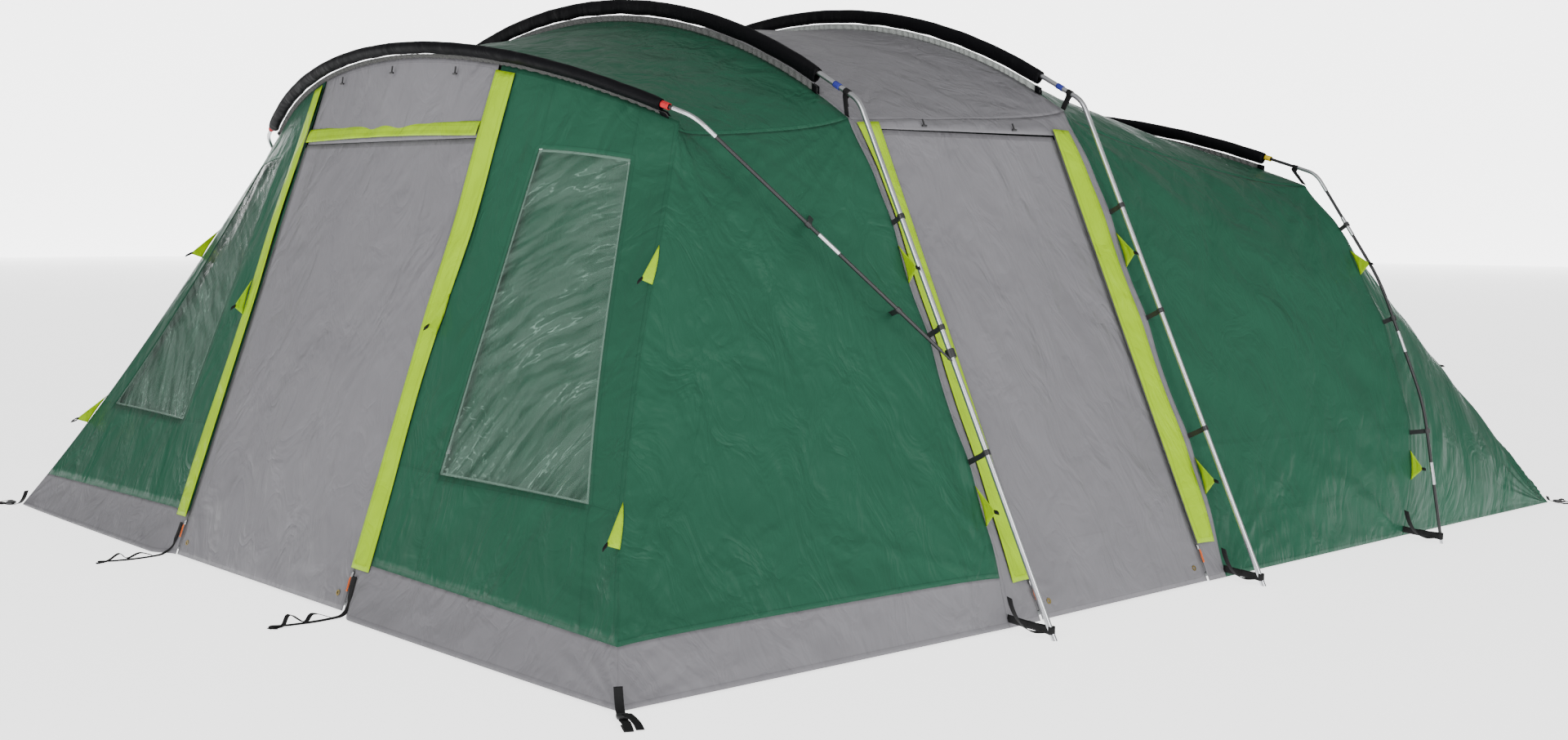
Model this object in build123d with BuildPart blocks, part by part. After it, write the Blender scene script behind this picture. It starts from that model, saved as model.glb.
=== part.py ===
"""Six-berth tunnel tent on four pole hoops, pitched, with a front porch and three hinged doors.

Millimetres, +Z up, the front door faces -Y. Distances along the tent are given from the front
hem line and moved by site() so that the origin is on the ground under the middle of the tent.
"""
import os
from collections import namedtuple
from math import asin, cos, radians, sin, sqrt, tan

from build123d import *

os.makedirs("parts", exist_ok=True)

# Plan of the tent, from the front hem line
Y_FRONT_HOOP = 1513
Y_MIDDLE_HOOP = 2717
Y_REAR_HOOP = 3970
Y_TAIL_HEM = 5265
DOOR_SET_BACK = 24
FRONT_STRAP_END = -260
TAIL_STRAP_END = 5375
Y_CENTRE = (FRONT_STRAP_END + TAIL_STRAP_END) / 2
FRONT_CORNER_X = 2170
WALL_HEM_X = 2235
REAR_HEM_X = 2240
TAIL_CORNER_X = 2254

# Cloth
CLOTH = 3
WEB_CLOTH = 2
FILM = 1.5
SEAM_GAP = 3
HEM_LIFT = 8
SKIRT_HEIGHT = 145
GROUNDSHEET = 2
GROUNDSHEET_INSET = 45
ROOF_SAG = 45

# Poles and sleeves
STEEL_RADIUS = 9.5
STEEL_BORE = 8.3
GLASS_RADIUS = 6.35
GLASS_BORE = 4.3
SPIGOT_CLEARANCE = 0.3
SPIGOT_LENGTH = 50
FERRULE_WALL = 1.3
FERRULE_CLEARANCE = 0.15
FERRULE_HALF = 45
SLEEVE_RADIUS = 21
SLEEVE_WALL = 1.5
SLEEVE_OVERLAP = 40
ELBOW_RADIUS = 120
FOOT_PLUG = 15

# Doors, zips and covers
DOOR_TOP_HALF = 612
DOOR_FOOT_HALF = 634
FRONT_HINGE_Z = 1570
FRONT_LEAN = 0.36
SIDE_HINGE_Z = 1610
SIDE_DOOR_TOP = (1645, 2590)
SIDE_DOOR_FOOT = (1675, 2600)
HINGE_GAP = 6
DOOR_HEM = 14
ZIP_GAP = 12
ZIP_WIDTH = 7
COVER_WIDTH = 92
COVER_FOOT_Z = 145
COVER_REST = 4.5
COVER_STAND = 15
COVER_GAP = 2
BAND_HEIGHT = 60
SLIDER_Z = 132
EYELET_BORE = 5
EYELET_BARREL = 6.5
EYELET_FLANGE = 10
EYELET_INSET = 55
EYELET_RISE = 45

Hoop = namedtuple("Hoop", "name plane foot knees bend_x joint_x crown radius rod bore drop shoulder_x")


def site(x, y, z):
    """A point of the tent, from its middle line, the front hem line and the ground."""
    return Vector(x, y - Y_CENTRE, z)


def hoop_plane(y, z=0, lean=0):
    """Plane of a hoop: local X runs across the tent and local Y up the hoop."""
    return Plane(
        origin=site(0, y, z),
        x_dir=(1, 0, 0),
        z_dir=(0, -cos(radians(lean)), -sin(radians(lean))),
    )


PORCH_LEAN = 40.1
PORCH_FOOT_Z = 833
porch_hoop = Hoop(
    "porch_hoop", hoop_plane(Y_FRONT_HOOP, PORCH_FOOT_Z, PORCH_LEAN), (1962, 45), (),
    1460, 1300, 1410, 2979, GLASS_RADIUS, GLASS_BORE, 50, 1370,
)
front_hoop = Hoop(
    "front_hoop", hoop_plane(Y_FRONT_HOOP), (2413, 0), (),
    1527, 1290, 2132, 2848, STEEL_RADIUS, STEEL_BORE, 65, 1475,
)
middle_hoop = Hoop(
    "middle_hoop", hoop_plane(Y_MIDDLE_HOOP), (2390, 0), (),
    1530, 1290, 2183, 2848, STEEL_RADIUS, STEEL_BORE, 65, 1442,
)
rear_hoop = Hoop(
    "rear_hoop", hoop_plane(Y_REAR_HOOP), (2412, 0), ((2312, 560), (2100, 1050)),
    1790, 1500, 1790, 5323, GLASS_RADIUS, GLASS_BORE, 55, 1740,
)
HOOPS = (porch_hoop, front_hoop, middle_hoop, rear_hoop)


def arc_height(radius, crown, x):
    """Height at x of the roof arc of that radius whose top is at crown."""
    return crown - radius + sqrt(radius**2 - x**2)


def joint_point(hoop):
    """Where the roof rod leaves the sleeve end and enters the leg."""
    return hoop.joint_x, arc_height(hoop.radius, hoop.crown, hoop.joint_x)


def bend_point(hoop):
    """Corner of the elbow: the roof arc's end tangent met above the leg."""
    x, height = joint_point(hoop)
    slope = tan(asin(hoop.joint_x / hoop.radius))
    return hoop.bend_x, height - slope * (hoop.bend_x - x)


def cloth_height(hoop, x):
    """Height of the cloth hung under a hoop, at x."""
    return arc_height(hoop.radius - hoop.drop, hoop.crown - hoop.drop, x)


def in_space(hoop, point):
    """A hoop-plane point as a point of the tent."""
    return hoop.plane.from_local_coords(Vector(point[0], point[1], 0))


def save(part, name):
    part.label = name
    export_step(part, f"parts/{name}.step")


def mirrored_group(solids):
    """Solids on the right of the tent, and the same on the left."""
    with BuildPart() as group:
        for solid in solids:
            add(solid)
        mirror(about=Plane.YZ)
    return group.part


def each_side(part, name):
    """Write a right-hand part and its left-hand twin."""
    save(part, f"{name}_right")
    with BuildPart() as twin:
        add(part)
        mirror(about=Plane.YZ, mode=Mode.REPLACE)
    save(twin.part, f"{name}_left")


def patch(corners, u, v, lift=0):
    """Point of a four-cornered panel, u along its foot, v up its sides, lift off its outer face."""
    low_a, low_b, high_b, high_a = corners
    normal = (low_b - low_a + high_b - high_a).cross(high_a - low_a + high_b - low_b).normalized()
    foot = low_a + (low_b - low_a) * u
    top = high_a + (high_b - high_a) * u
    return foot + (top - foot) * v + normal * lift


def part_of(corners, u0, u1, v0, v1, lift=0):
    """Corners of a smaller panel inside a four-cornered one."""
    return [patch(corners, u, v, lift) for u, v in ((u0, v0), (u1, v0), (u1, v1), (u0, v1))]


def sewn_panel(corners, thickness=CLOTH):
    """A cloth panel stretched between its two side edges."""
    low_a, low_b, high_b, high_a = corners
    normal = (low_b - low_a + high_b - high_a).cross(high_a - low_a + high_b - low_b)
    with BuildPart() as panel:
        for low, high in ((low_a, high_a), (low_b, high_b)):
            edge = high - low
            with BuildSketch(Plane(origin=low, x_dir=edge, z_dir=edge.cross(normal))):
                Rectangle(edge.length, thickness, align=(Align.MIN, Align.CENTER))
        loft(ruled=True)
    return panel.part


def outline_plane(points):
    """Plane through the first three points of an outline."""
    along = points[1] - points[0]
    return Plane(origin=points[0], x_dir=along, z_dir=along.cross(points[2] - points[1]))


def flat_sketch(plane, points):
    """Polygon through points of the tent, flattened on a plane."""
    local = [plane.to_local_coords(point) for point in points]
    return Polygon(*[(point.X, point.Y) for point in local], align=None)


def flat_panel(points, thickness=CLOTH, holes=(), hole_radius=0):
    """A flat cloth panel with round holes."""
    plane = outline_plane(points)
    with BuildPart() as panel:
        with BuildSketch(plane):
            flat_sketch(plane, points)
            for hole in holes:
                local = plane.to_local_coords(hole)
                with Locations((local.X, local.Y)):
                    Circle(hole_radius, mode=Mode.SUBTRACT)
        extrude(amount=thickness / 2, both=True)
    return panel.part


def arc_band(plane, half_width, end_height, crown_height, thickness=CLOTH):
    """Section of a roof: a thin band on an arc across the tent, thickness measured up the plane."""
    half = thickness / 2
    with BuildSketch(plane) as band:
        with BuildLine():
            top = ThreePointArc(
                (-half_width, end_height + half),
                (0, crown_height + half),
                (half_width, end_height + half),
            )
            low = ThreePointArc(
                (-half_width, end_height - half),
                (0, crown_height - half),
                (half_width, end_height - half),
            )
            Line(top @ 0, low @ 0)
            Line(top @ 1, low @ 1)
        make_face()
    return band.sketch


def arched_panel(*bands):
    """A cloth panel smoothly through roof sections."""
    with BuildPart() as panel:
        for band in bands:
            add(band.faces())
        loft()
    return panel.part


def hoop_band(hoop, offset=0, half_width=None):
    """Section of the cloth under a hoop, moved along the tent by offset."""
    half_width = half_width or hoop.shoulder_x
    plane = hoop.plane.offset(-offset)
    return arc_band(plane, half_width, cloth_height(hoop, half_width), hoop.crown - hoop.drop)


def bay_band(y, z, lean, half_width, end_height, crown_height):
    """Section of the sagging roof between two hoops."""
    return arc_band(hoop_plane(y, z, lean), half_width, end_height, crown_height - ROOF_SAG)


def tube_on(path, radius, bore):
    """Round tube or, with no bore, a rod along the path being built."""
    with BuildSketch(Plane(origin=path @ 0, z_dir=path % 0)) as section:
        Circle(radius)
        if bore:
            Circle(bore, mode=Mode.SUBTRACT)
    sweep(sections=section.sketch, path=path)


def hoop_leg(hoop):
    """Right-hand leg of a hoop with its elbow, from above the foot plug to the sleeve end."""
    foot, first = Vector(*hoop.foot), Vector(*(hoop.knees + (bend_point(hoop),))[0])
    start = foot + (first - foot).normalized() * FOOT_PLUG
    points = [(start.X, start.Y), *hoop.knees, bend_point(hoop), joint_point(hoop)]
    knee_radius = 900
    radii = [knee_radius] * len(hoop.knees) + [ELBOW_RADIUS]
    with BuildPart() as leg:
        with BuildLine(hoop.plane) as path:
            FilletPolyline(*points, radius=radii)
        tube_on(path.line, hoop.rod, hoop.bore)
    return leg.part


def roof_rod(hoop):
    """Roof rod of a hoop, with a straight spigot into each leg."""
    x, height = joint_point(hoop)
    bend = Vector(*bend_point(hoop))
    out = (bend - Vector(x, height)).normalized() * SPIGOT_LENGTH
    with BuildPart() as rod:
        with BuildLine(hoop.plane) as path:
            Line((-x - out.X, height + out.Y), (-x, height))
            ThreePointArc((-x, height), (0, hoop.crown), (x, height))
            Line((x, height), (x + out.X, height + out.Y))
        tube_on(path.line, hoop.bore - SPIGOT_CLEARANCE, 0)
    return rod.part


def sleeve(hoop):
    """Open cloth tube in which the roof rod lies."""
    end_x = hoop.joint_x + SLEEVE_OVERLAP
    height = arc_height(hoop.radius, hoop.crown, end_x)
    with BuildPart() as tube:
        with BuildLine(hoop.plane) as path:
            ThreePointArc((-end_x, height), (0, hoop.crown), (end_x, height))
        tube_on(path.line, SLEEVE_RADIUS, SLEEVE_RADIUS - SLEEVE_WALL)
    return tube.part


def sleeve_web(hoop):
    """Flat strip in the hoop's plane that hangs the roof cloth from the sleeve."""
    half_width = hoop.joint_x
    centre = hoop.crown - hoop.radius
    upper = hoop.radius - SLEEVE_RADIUS - SPIGOT_CLEARANCE
    lower = hoop.radius - hoop.drop + CLOTH
    with BuildPart() as web:
        with BuildSketch(hoop.plane):
            with BuildLine():
                edges = [
                    ThreePointArc(
                        (-half_width, arc_height(radius, centre + radius, half_width)),
                        (0, centre + radius),
                        (half_width, arc_height(radius, centre + radius, half_width)),
                    )
                    for radius in (upper, lower)
                ]
                Line(edges[0] @ 0, edges[1] @ 0)
                Line(edges[0] @ 1, edges[1] @ 1)
            make_face()
        extrude(amount=WEB_CLOTH / 2, both=True)
    return web.part


def collar(hoop, points, radii=None):
    """Metal ferrule around the leg along a line or elbow of the hoop."""
    with BuildPart() as ring:
        with BuildLine(hoop.plane) as path:
            if radii:
                FilletPolyline(*points, radius=radii)
            else:
                Line(*points)
        bore = hoop.rod + FERRULE_CLEARANCE
        tube_on(path.line, bore + FERRULE_WALL, bore)
    return ring.part


def ferrules(hoop, straight_runs, shares):
    """Elbow ferrule and straight ferrules of a fibreglass leg, at shares of its straight runs."""
    joint, bend = Vector(*joint_point(hoop)), Vector(*bend_point(hoop))
    below = Vector(*straight_runs[-1][0])
    reach = 90
    elbow_ends = [bend + (end - bend).normalized() * reach for end in (below, joint)]
    elbow = [(elbow_ends[0].X, elbow_ends[0].Y), (bend.X, bend.Y), (elbow_ends[1].X, elbow_ends[1].Y)]
    rings = [collar(hoop, elbow, ELBOW_RADIUS)]
    for (low, high), share in zip(straight_runs, shares):
        low, high = Vector(*low), Vector(*high)
        along = (high - low).normalized() * FERRULE_HALF
        middle = low + (high - low) * share
        rings.append(collar(hoop, [(end.X, end.Y) for end in (middle - along, middle + along)]))
    return rings


def foot_plug(hoop):
    """Tip that closes a leg's lower end, cut level with the ground."""
    foot = in_space(hoop, hoop.foot)
    up = in_space(hoop, (hoop.knees + (bend_point(hoop),))[0]) - foot
    tail = 20
    with BuildPart() as plug:
        with BuildSketch(Plane(origin=foot, z_dir=up).offset(-tail)):
            Circle(hoop.rod)
        extrude(amount=tail + FOOT_PLUG)
        with BuildSketch(Plane(origin=foot, z_dir=up).offset(FOOT_PLUG)):
            Circle(hoop.bore - SPIGOT_CLEARANCE)
        extrude(amount=SPIGOT_LENGTH / 2)
        split(bisect_by=Plane.XY, keep=Keep.TOP)
    return plug.part


def clip(sewn, leg_low, leg_high, rod, width):
    """Webbing clip: a ring round the leg and a strap back to where it is sewn to the cloth."""
    along = leg_high - leg_low
    share = (sewn - leg_low).dot(along) / along.dot(along)
    on_leg = leg_low + along * share
    inward = sewn - on_leg
    inner = rod + SPIGOT_CLEARANCE
    outer = inner + 3
    strap_end = inward.length - 2 * CLOTH
    with BuildPart() as hook:
        with BuildSketch(Plane(origin=on_leg, x_dir=inward, z_dir=along)):
            Circle(outer)
            with Locations(((inner + strap_end) / 2, 0)):
                Rectangle(strap_end - inner, CLOTH)
            Circle(inner, mode=Mode.SUBTRACT)
        extrude(amount=width / 2, both=True)
    return hook.part


def guy_point(low, high, out):
    """Triangular guy patch sewn along a seam, its tip standing out."""
    depth = 62
    tip_share = 0.35
    tip = low + (high - low) * tip_share + out.normalized() * depth
    lift = out.normalized() * SEAM_GAP
    return flat_panel([low + lift, high + lift, tip], WEB_CLOTH)


# Corners of the right-hand panels
porch_end_h = cloth_height(porch_hoop, porch_hoop.shoulder_x)
porch_end = in_space(porch_hoop, (porch_hoop.shoulder_x, porch_end_h))
front_shoulder = site(front_hoop.shoulder_x, Y_FRONT_HOOP, cloth_height(front_hoop, front_hoop.shoulder_x))
middle_shoulder = site(
    middle_hoop.shoulder_x, Y_MIDDLE_HOOP, cloth_height(middle_hoop, middle_hoop.shoulder_x)
)
rear_shoulder = site(rear_hoop.shoulder_x, Y_REAR_HOOP, cloth_height(rear_hoop, rear_hoop.shoulder_x))
front_corner = site(FRONT_CORNER_X, 0, HEM_LIFT)
front_hem = site(WALL_HEM_X, Y_FRONT_HOOP, HEM_LIFT)
middle_hem = site(WALL_HEM_X, Y_MIDDLE_HOOP, HEM_LIFT)
rear_hem = site(REAR_HEM_X, Y_REAR_HOOP, HEM_LIFT)
tail_corner = site(TAIL_CORNER_X, Y_TAIL_HEM, HEM_LIFT)


def door_edge_x(z):
    """Half width of the front door at a height."""
    return DOOR_FOOT_HALF + (DOOR_TOP_HALF - DOOR_FOOT_HALF) * z / FRONT_HINGE_Z


def front_face(x, z):
    """Point of the front door's plane, which leans back."""
    return site(x, FRONT_LEAN * z + DOOR_SET_BACK, z)


def side_wall(y, z):
    """Point of the flat side wall of the middle bay, which leans in."""
    lean = (front_hem.X - front_shoulder.X) / (front_shoulder.Z - HEM_LIFT)
    return site(WALL_HEM_X - lean * (z - HEM_LIFT), y, z)


def side_door_edge(index, z):
    """Distance along the tent of a side door's front or rear edge at a height."""
    return SIDE_DOOR_FOOT[index] + (SIDE_DOOR_TOP[index] - SIDE_DOOR_FOOT[index]) * z / SIDE_HINGE_Z


header_z = 1815
inner_foot = front_face(door_edge_x(HEM_LIFT) + ZIP_GAP, HEM_LIFT)
inner_top = in_space(porch_hoop, (door_edge_x(header_z) + ZIP_GAP, cloth_height(porch_hoop, 620)))
front_panel_corners = [inner_foot, front_corner, porch_end, inner_top]
porch_wall_corners = [front_corner, front_hem, front_shoulder, porch_end]
middle_wall_corners = [front_hem, middle_hem, middle_shoulder, front_shoulder]
rear_wall_corners = [middle_hem, rear_hem, rear_shoulder, middle_shoulder]
skirt_share = SKIRT_HEIGHT / front_shoulder.Z
seam_share = 0.0025
seam_near, seam_far = 0.004, 0.996

# Poles
for hoop in HOOPS:
    save(roof_rod(hoop), f"{hoop.name}_roof_rod")
for hoop in (front_hoop, middle_hoop):
    each_side(hoop_leg(hoop), f"{hoop.name}_leg")
for hoop in (porch_hoop, rear_hoop):
    save(mirrored_group([hoop_leg(hoop)]), f"{hoop.name}_legs")
porch_run = [(porch_hoop.foot, bend_point(porch_hoop))]
save(mirrored_group(ferrules(porch_hoop, porch_run, [0.47])), "porch_hoop_ferrules")
rear_stops = [rear_hoop.foot, *rear_hoop.knees, bend_point(rear_hoop)]
rear_runs = list(zip(rear_stops, rear_stops[1:]))
save(mirrored_group(ferrules(rear_hoop, rear_runs, [0.5, 0.5, 0.5])), "rear_hoop_ferrules")
save(mirrored_group([foot_plug(hoop) for hoop in HOOPS[1:]]), "pole_feet")


def porch_anchor():
    """Hub clamped round the front hoop's leg, with the pin that carries the porch rod's end."""
    foot = in_space(porch_hoop, porch_hoop.foot)
    rod_up = (in_space(porch_hoop, bend_point(porch_hoop)) - foot).normalized()
    leg_low = in_space(front_hoop, front_hoop.foot)
    leg_up = (in_space(front_hoop, bend_point(front_hoop)) - leg_low).normalized()
    on_leg = leg_low + leg_up * (foot - leg_low).dot(leg_up)
    pin_radius = GLASS_BORE - SPIGOT_CLEARANCE
    hub_height = 30
    pin_below = 30
    bore = STEEL_RADIUS + SPIGOT_CLEARANCE
    with BuildPart() as anchor:
        with BuildSketch(Plane(origin=foot - rod_up * pin_below, z_dir=rod_up)):
            Circle(pin_radius)
        extrude(amount=pin_below + FOOT_PLUG + SPIGOT_LENGTH)
        with BuildSketch(Plane(origin=on_leg, z_dir=leg_up)):
            Circle(bore + GLASS_RADIUS)
        extrude(amount=hub_height / 2, both=True)
        with BuildSketch(Plane(origin=on_leg, z_dir=leg_up)):
            Circle(bore)
        extrude(amount=hub_height * 3, both=True, mode=Mode.SUBTRACT)
    return anchor.part


save(mirrored_group([porch_anchor()]), "porch_hoop_anchors")

# Sleeves and the strips that hang the roof from them
for hoop in HOOPS:
    save(sleeve(hoop), f"{hoop.name}_sleeve")
    save(sleeve_web(hoop), f"{hoop.name}_sleeve_web")

# Roofs: each sags between its two hoops
half_lean = PORCH_LEAN / 2
front_end = cloth_height(front_hoop, front_hoop.shoulder_x)
middle_end = cloth_height(middle_hoop, middle_hoop.shoulder_x)
rear_end = cloth_height(rear_hoop, rear_hoop.shoulder_x)
porch_crown, front_crown, middle_crown, rear_crown = [hoop.crown - hoop.drop for hoop in HOOPS]
porch_middle = bay_band(
    Y_FRONT_HOOP, PORCH_FOOT_Z, half_lean,
    (porch_hoop.shoulder_x + front_hoop.shoulder_x) / 2,
    (porch_end_h + front_end - PORCH_FOOT_Z) / 2,
    (porch_crown + front_crown - PORCH_FOOT_Z) / 2,
)
porch_roof = arched_panel(hoop_band(porch_hoop, SEAM_GAP), porch_middle, hoop_band(front_hoop, -SEAM_GAP))
save(porch_roof, "porch_roof")
middle_band = bay_band(
    (Y_FRONT_HOOP + Y_MIDDLE_HOOP) / 2, 0, 0,
    (front_hoop.shoulder_x + middle_hoop.shoulder_x) / 2,
    (front_end + middle_end) / 2,
    (front_crown + middle_crown) / 2,
)
middle_roof = arched_panel(hoop_band(front_hoop, SEAM_GAP), middle_band, hoop_band(middle_hoop, -SEAM_GAP))
save(middle_roof, "middle_roof")
rear_band = bay_band(
    (Y_MIDDLE_HOOP + Y_REAR_HOOP) / 2, 0, 0,
    (middle_hoop.shoulder_x + rear_hoop.shoulder_x) / 2,
    (middle_end + rear_end) / 2,
    (middle_crown + rear_crown) / 2,
)
rear_roof = arched_panel(hoop_band(middle_hoop, SEAM_GAP), rear_band, hoop_band(rear_hoop, -SEAM_GAP))
save(rear_roof, "rear_roof")
hem_rise = 12
tail_band = arc_band(hoop_plane(Y_TAIL_HEM), TAIL_CORNER_X - SEAM_GAP, HEM_LIFT, HEM_LIFT + hem_rise)
save(arched_panel(hoop_band(rear_hoop, SEAM_GAP), tail_band), "tail_panel")

# Front: header over the door, window panels, windows
header_foot_z = FRONT_HINGE_Z + HINGE_GAP
header_half = door_edge_x(header_z) - COVER_GAP
header_plane = Plane(
    origin=front_face(0, header_foot_z), x_dir=(1, 0, 0), z_dir=(0, -FRONT_LEAN, -1)
)
header_foot = arc_band(header_plane, header_half, 0, COVER_GAP)
save(arched_panel(hoop_band(porch_hoop, -SEAM_GAP, header_half), header_foot), "front_header")

top_gap = 0.012
window_shares = ((0.25, 0.267), (0.87, 0.287), (0.80, 0.895), (0.335, 0.864))
window_corners = [patch(front_panel_corners, u, v) for u, v in window_shares]
with BuildPart() as front_panel:
    add(sewn_panel(part_of(front_panel_corners, 0, seam_far, skirt_share + seam_share, 1 - top_gap)))
    cut_plane = outline_plane(window_corners)
    with BuildSketch(cut_plane):
        flat_sketch(cut_plane, window_corners)
    extrude(amount=SKIRT_HEIGHT, both=True, mode=Mode.SUBTRACT)
each_side(front_panel.part, "front_panel")

window_hem = 0.02
hem_sides = ((-1, -1), (1, -1), (1, 1), (-1, 1))
film_lift = 2 * CLOTH + FILM
film_corners = []
for (u, v), (side_u, side_v) in zip(window_shares, hem_sides):
    film_corners.append(
        patch(front_panel_corners, u + side_u * window_hem, v + side_v * window_hem, -film_lift)
    )
save(mirrored_group([sewn_panel(film_corners, FILM)]), "front_windows")

# Skirt round the porch
front_skirt = sewn_panel(part_of(front_panel_corners, 0, seam_far, 0, skirt_share - seam_share))
side_skirt = sewn_panel(part_of(porch_wall_corners, seam_near, seam_far, 0, skirt_share - seam_share))
save(mirrored_group([front_skirt, side_skirt]), "porch_skirts")

# Side walls
porch_wall = part_of(porch_wall_corners, seam_near, seam_far, skirt_share + seam_share, 1 - top_gap)
each_side(sewn_panel(porch_wall), "porch_wall")
each_side(sewn_panel(part_of(rear_wall_corners, seam_near, seam_far, 0, 1 - top_gap)), "rear_wall")
tail_side_points = [rear_hem, tail_corner, rear_shoulder]
tail_middle = (rear_hem + tail_corner + rear_shoulder) / 3
tail_inset = 0.985
tail_side = flat_panel([tail_middle + (point - tail_middle) * tail_inset for point in tail_side_points])
each_side(tail_side, "tail_side")

doorway = [
    side_wall(side_door_edge(0, 0) - ZIP_GAP, -SKIRT_HEIGHT),
    side_wall(side_door_edge(1, 0) + ZIP_GAP, -SKIRT_HEIGHT),
    side_wall(SIDE_DOOR_TOP[1] + ZIP_GAP, SIDE_HINGE_Z + HINGE_GAP),
    side_wall(SIDE_DOOR_TOP[0] - ZIP_GAP, SIDE_HINGE_Z + HINGE_GAP),
]
with BuildPart() as middle_wall:
    add(sewn_panel(part_of(middle_wall_corners, seam_near, seam_far, 0, 1 - top_gap)))
    cut_plane = outline_plane(doorway)
    with BuildSketch(cut_plane):
        flat_sketch(cut_plane, doorway)
    extrude(amount=SKIRT_HEIGHT, both=True, mode=Mode.SUBTRACT)
each_side(middle_wall.part, "middle_wall")


def eyelet(centre, outward):
    """Brass eyelet: a barrel with a flange on each face of the cloth."""
    half = CLOTH / 2 + SPIGOT_CLEARANCE
    flange = 1
    with BuildPart() as ring:
        with BuildSketch(Plane(origin=centre, z_dir=outward)):
            Circle(EYELET_BARREL)
        extrude(amount=half, both=True)
        for face in (half, -half - flange):
            with BuildSketch(Plane(origin=centre, z_dir=outward).offset(face)):
                Circle(EYELET_FLANGE)
            extrude(amount=flange)
        with BuildSketch(Plane(origin=centre, z_dir=outward)):
            Circle(EYELET_BORE)
        extrude(amount=2 * half, both=True, mode=Mode.SUBTRACT)
    return ring.part


# Front door and its eyelets
front_out = Vector(0, -1, FRONT_LEAN).normalized()
front_door_points = [
    front_face(-door_edge_x(DOOR_HEM), DOOR_HEM),
    front_face(door_edge_x(DOOR_HEM), DOOR_HEM),
    front_face(DOOR_TOP_HALF, FRONT_HINGE_Z - HINGE_GAP),
    front_face(-DOOR_TOP_HALF, FRONT_HINGE_Z - HINGE_GAP),
]
eyelet_x = DOOR_FOOT_HALF - EYELET_INSET
front_eyelets = [front_face(x, DOOR_HEM + EYELET_RISE) for x in (eyelet_x, -eyelet_x)]
eyelet_seat = EYELET_BARREL + SPIGOT_CLEARANCE
save(flat_panel(front_door_points, CLOTH, front_eyelets, eyelet_seat), "front_door")
save(mirrored_group([eyelet(front_eyelets[0], front_out)]), "front_door_eyelets")

# Side doors and their eyelets
side_slope = side_wall(0, 0) - side_wall(0, 1000)
side_out = side_slope.cross(Vector(0, 1, 0)).normalized()
side_door_points = [
    side_wall(side_door_edge(0, DOOR_HEM), DOOR_HEM),
    side_wall(side_door_edge(1, DOOR_HEM), DOOR_HEM),
    side_wall(SIDE_DOOR_TOP[1], SIDE_HINGE_Z - HINGE_GAP),
    side_wall(SIDE_DOOR_TOP[0], SIDE_HINGE_Z - HINGE_GAP),
]
side_eyelets = [
    side_wall(SIDE_DOOR_FOOT[0] + EYELET_INSET, DOOR_HEM + EYELET_RISE),
    side_wall(SIDE_DOOR_FOOT[1] - EYELET_INSET, DOOR_HEM + EYELET_RISE),
]
each_side(flat_panel(side_door_points, CLOTH, side_eyelets, eyelet_seat), "side_door")
with BuildPart() as side_rings:
    for centre in side_eyelets:
        add(eyelet(centre, side_out))
each_side(side_rings.part, "side_door_eyelets")


def zip_tape(low, high, outward):
    """Zip chain on its tape, in the gap beside a door."""
    set_back = outward * -CLOTH / 2
    along = high - low
    with BuildPart() as tape:
        with BuildSketch(Plane(origin=low + set_back, x_dir=outward.cross(along), z_dir=along)):
            Rectangle(ZIP_WIDTH, CLOTH - 1)
        extrude(amount=along.length)
    return tape.part


def zip_cover(edge_low, edge_high, across, outward):
    """Zip cover sewn down along one edge and standing off the zip along the other."""
    across = across.normalized()
    free = outward * COVER_STAND + across * COVER_GAP
    sewn = outward * COVER_REST + across * (COVER_GAP + COVER_WIDTH)
    return sewn_panel([edge_low + free, edge_low + sewn, edge_high + sewn, edge_high + free], WEB_CLOTH)


def zip_slider(low, high, outward):
    """Zip slider with its corded pull, resting at the foot of the zip."""
    along = (high - low).normalized()
    across = along.cross(outward)
    body_length, body_width, body_height = 18, 9, 5
    pull_length, pull_half, pull_radius, pull_lift = 58, 2.6, 1.4, 6.2
    hang = Plane(origin=low + outward * pull_lift, x_dir=across, z_dir=outward)
    with BuildPart() as slider:
        with BuildSketch(Plane(origin=low, x_dir=across, z_dir=outward)):
            Trapezoid(body_width, body_length, 80)
        extrude(amount=body_height)
        with BuildLine(hang) as cord:
            FilletPolyline(
                (-pull_half, 0), (-pull_half, -pull_length), (pull_half, -pull_length), (pull_half, 0),
                radius=pull_half * 0.9,
            )
        tube_on(cord.line, pull_radius, 0)
    return slider.part


# Zips, covers and sliders of the front door
half_gap = ZIP_GAP / 2
zip_foot_z = 40
tapes = []
front_zip_low = front_face(door_edge_x(zip_foot_z) + half_gap, zip_foot_z)
front_zip_high = front_face(DOOR_TOP_HALF + half_gap, FRONT_HINGE_Z - ZIP_GAP)
tapes.append(zip_tape(front_zip_low, front_zip_high, front_out))
cover_low = front_face(door_edge_x(COVER_FOOT_Z), COVER_FOOT_Z)
cover_high = front_face(DOOR_TOP_HALF, FRONT_HINGE_Z)
header_rise = (in_space(porch_hoop, (0, porch_crown)) - front_face(0, header_foot_z)).normalized()
header_out = header_rise.cross(Vector(-1, 0, 0))
band_low = front_face(0, header_foot_z) + header_rise * HINGE_GAP + header_out * COVER_REST
band_rise = header_rise * BAND_HEIGHT
band_half = Vector(header_half, 0, 0)
with BuildPart() as front_covers:
    add(zip_cover(cover_low, cover_high, Vector(1, 0, 0), front_out))
    mirror(about=Plane.YZ)
    add(sewn_panel([band_low - band_half, band_low + band_half,
                    band_low + band_half + band_rise, band_low - band_half + band_rise], WEB_CLOTH))
save(front_covers.part, "front_zip_covers")
front_zip_run = (front_zip_high - front_zip_low).normalized()
front_slider_seat = front_zip_low + front_zip_run * (SLIDER_Z - zip_foot_z)
each_side(zip_slider(front_slider_seat, front_zip_high, front_out), "front_zip_slider")

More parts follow.
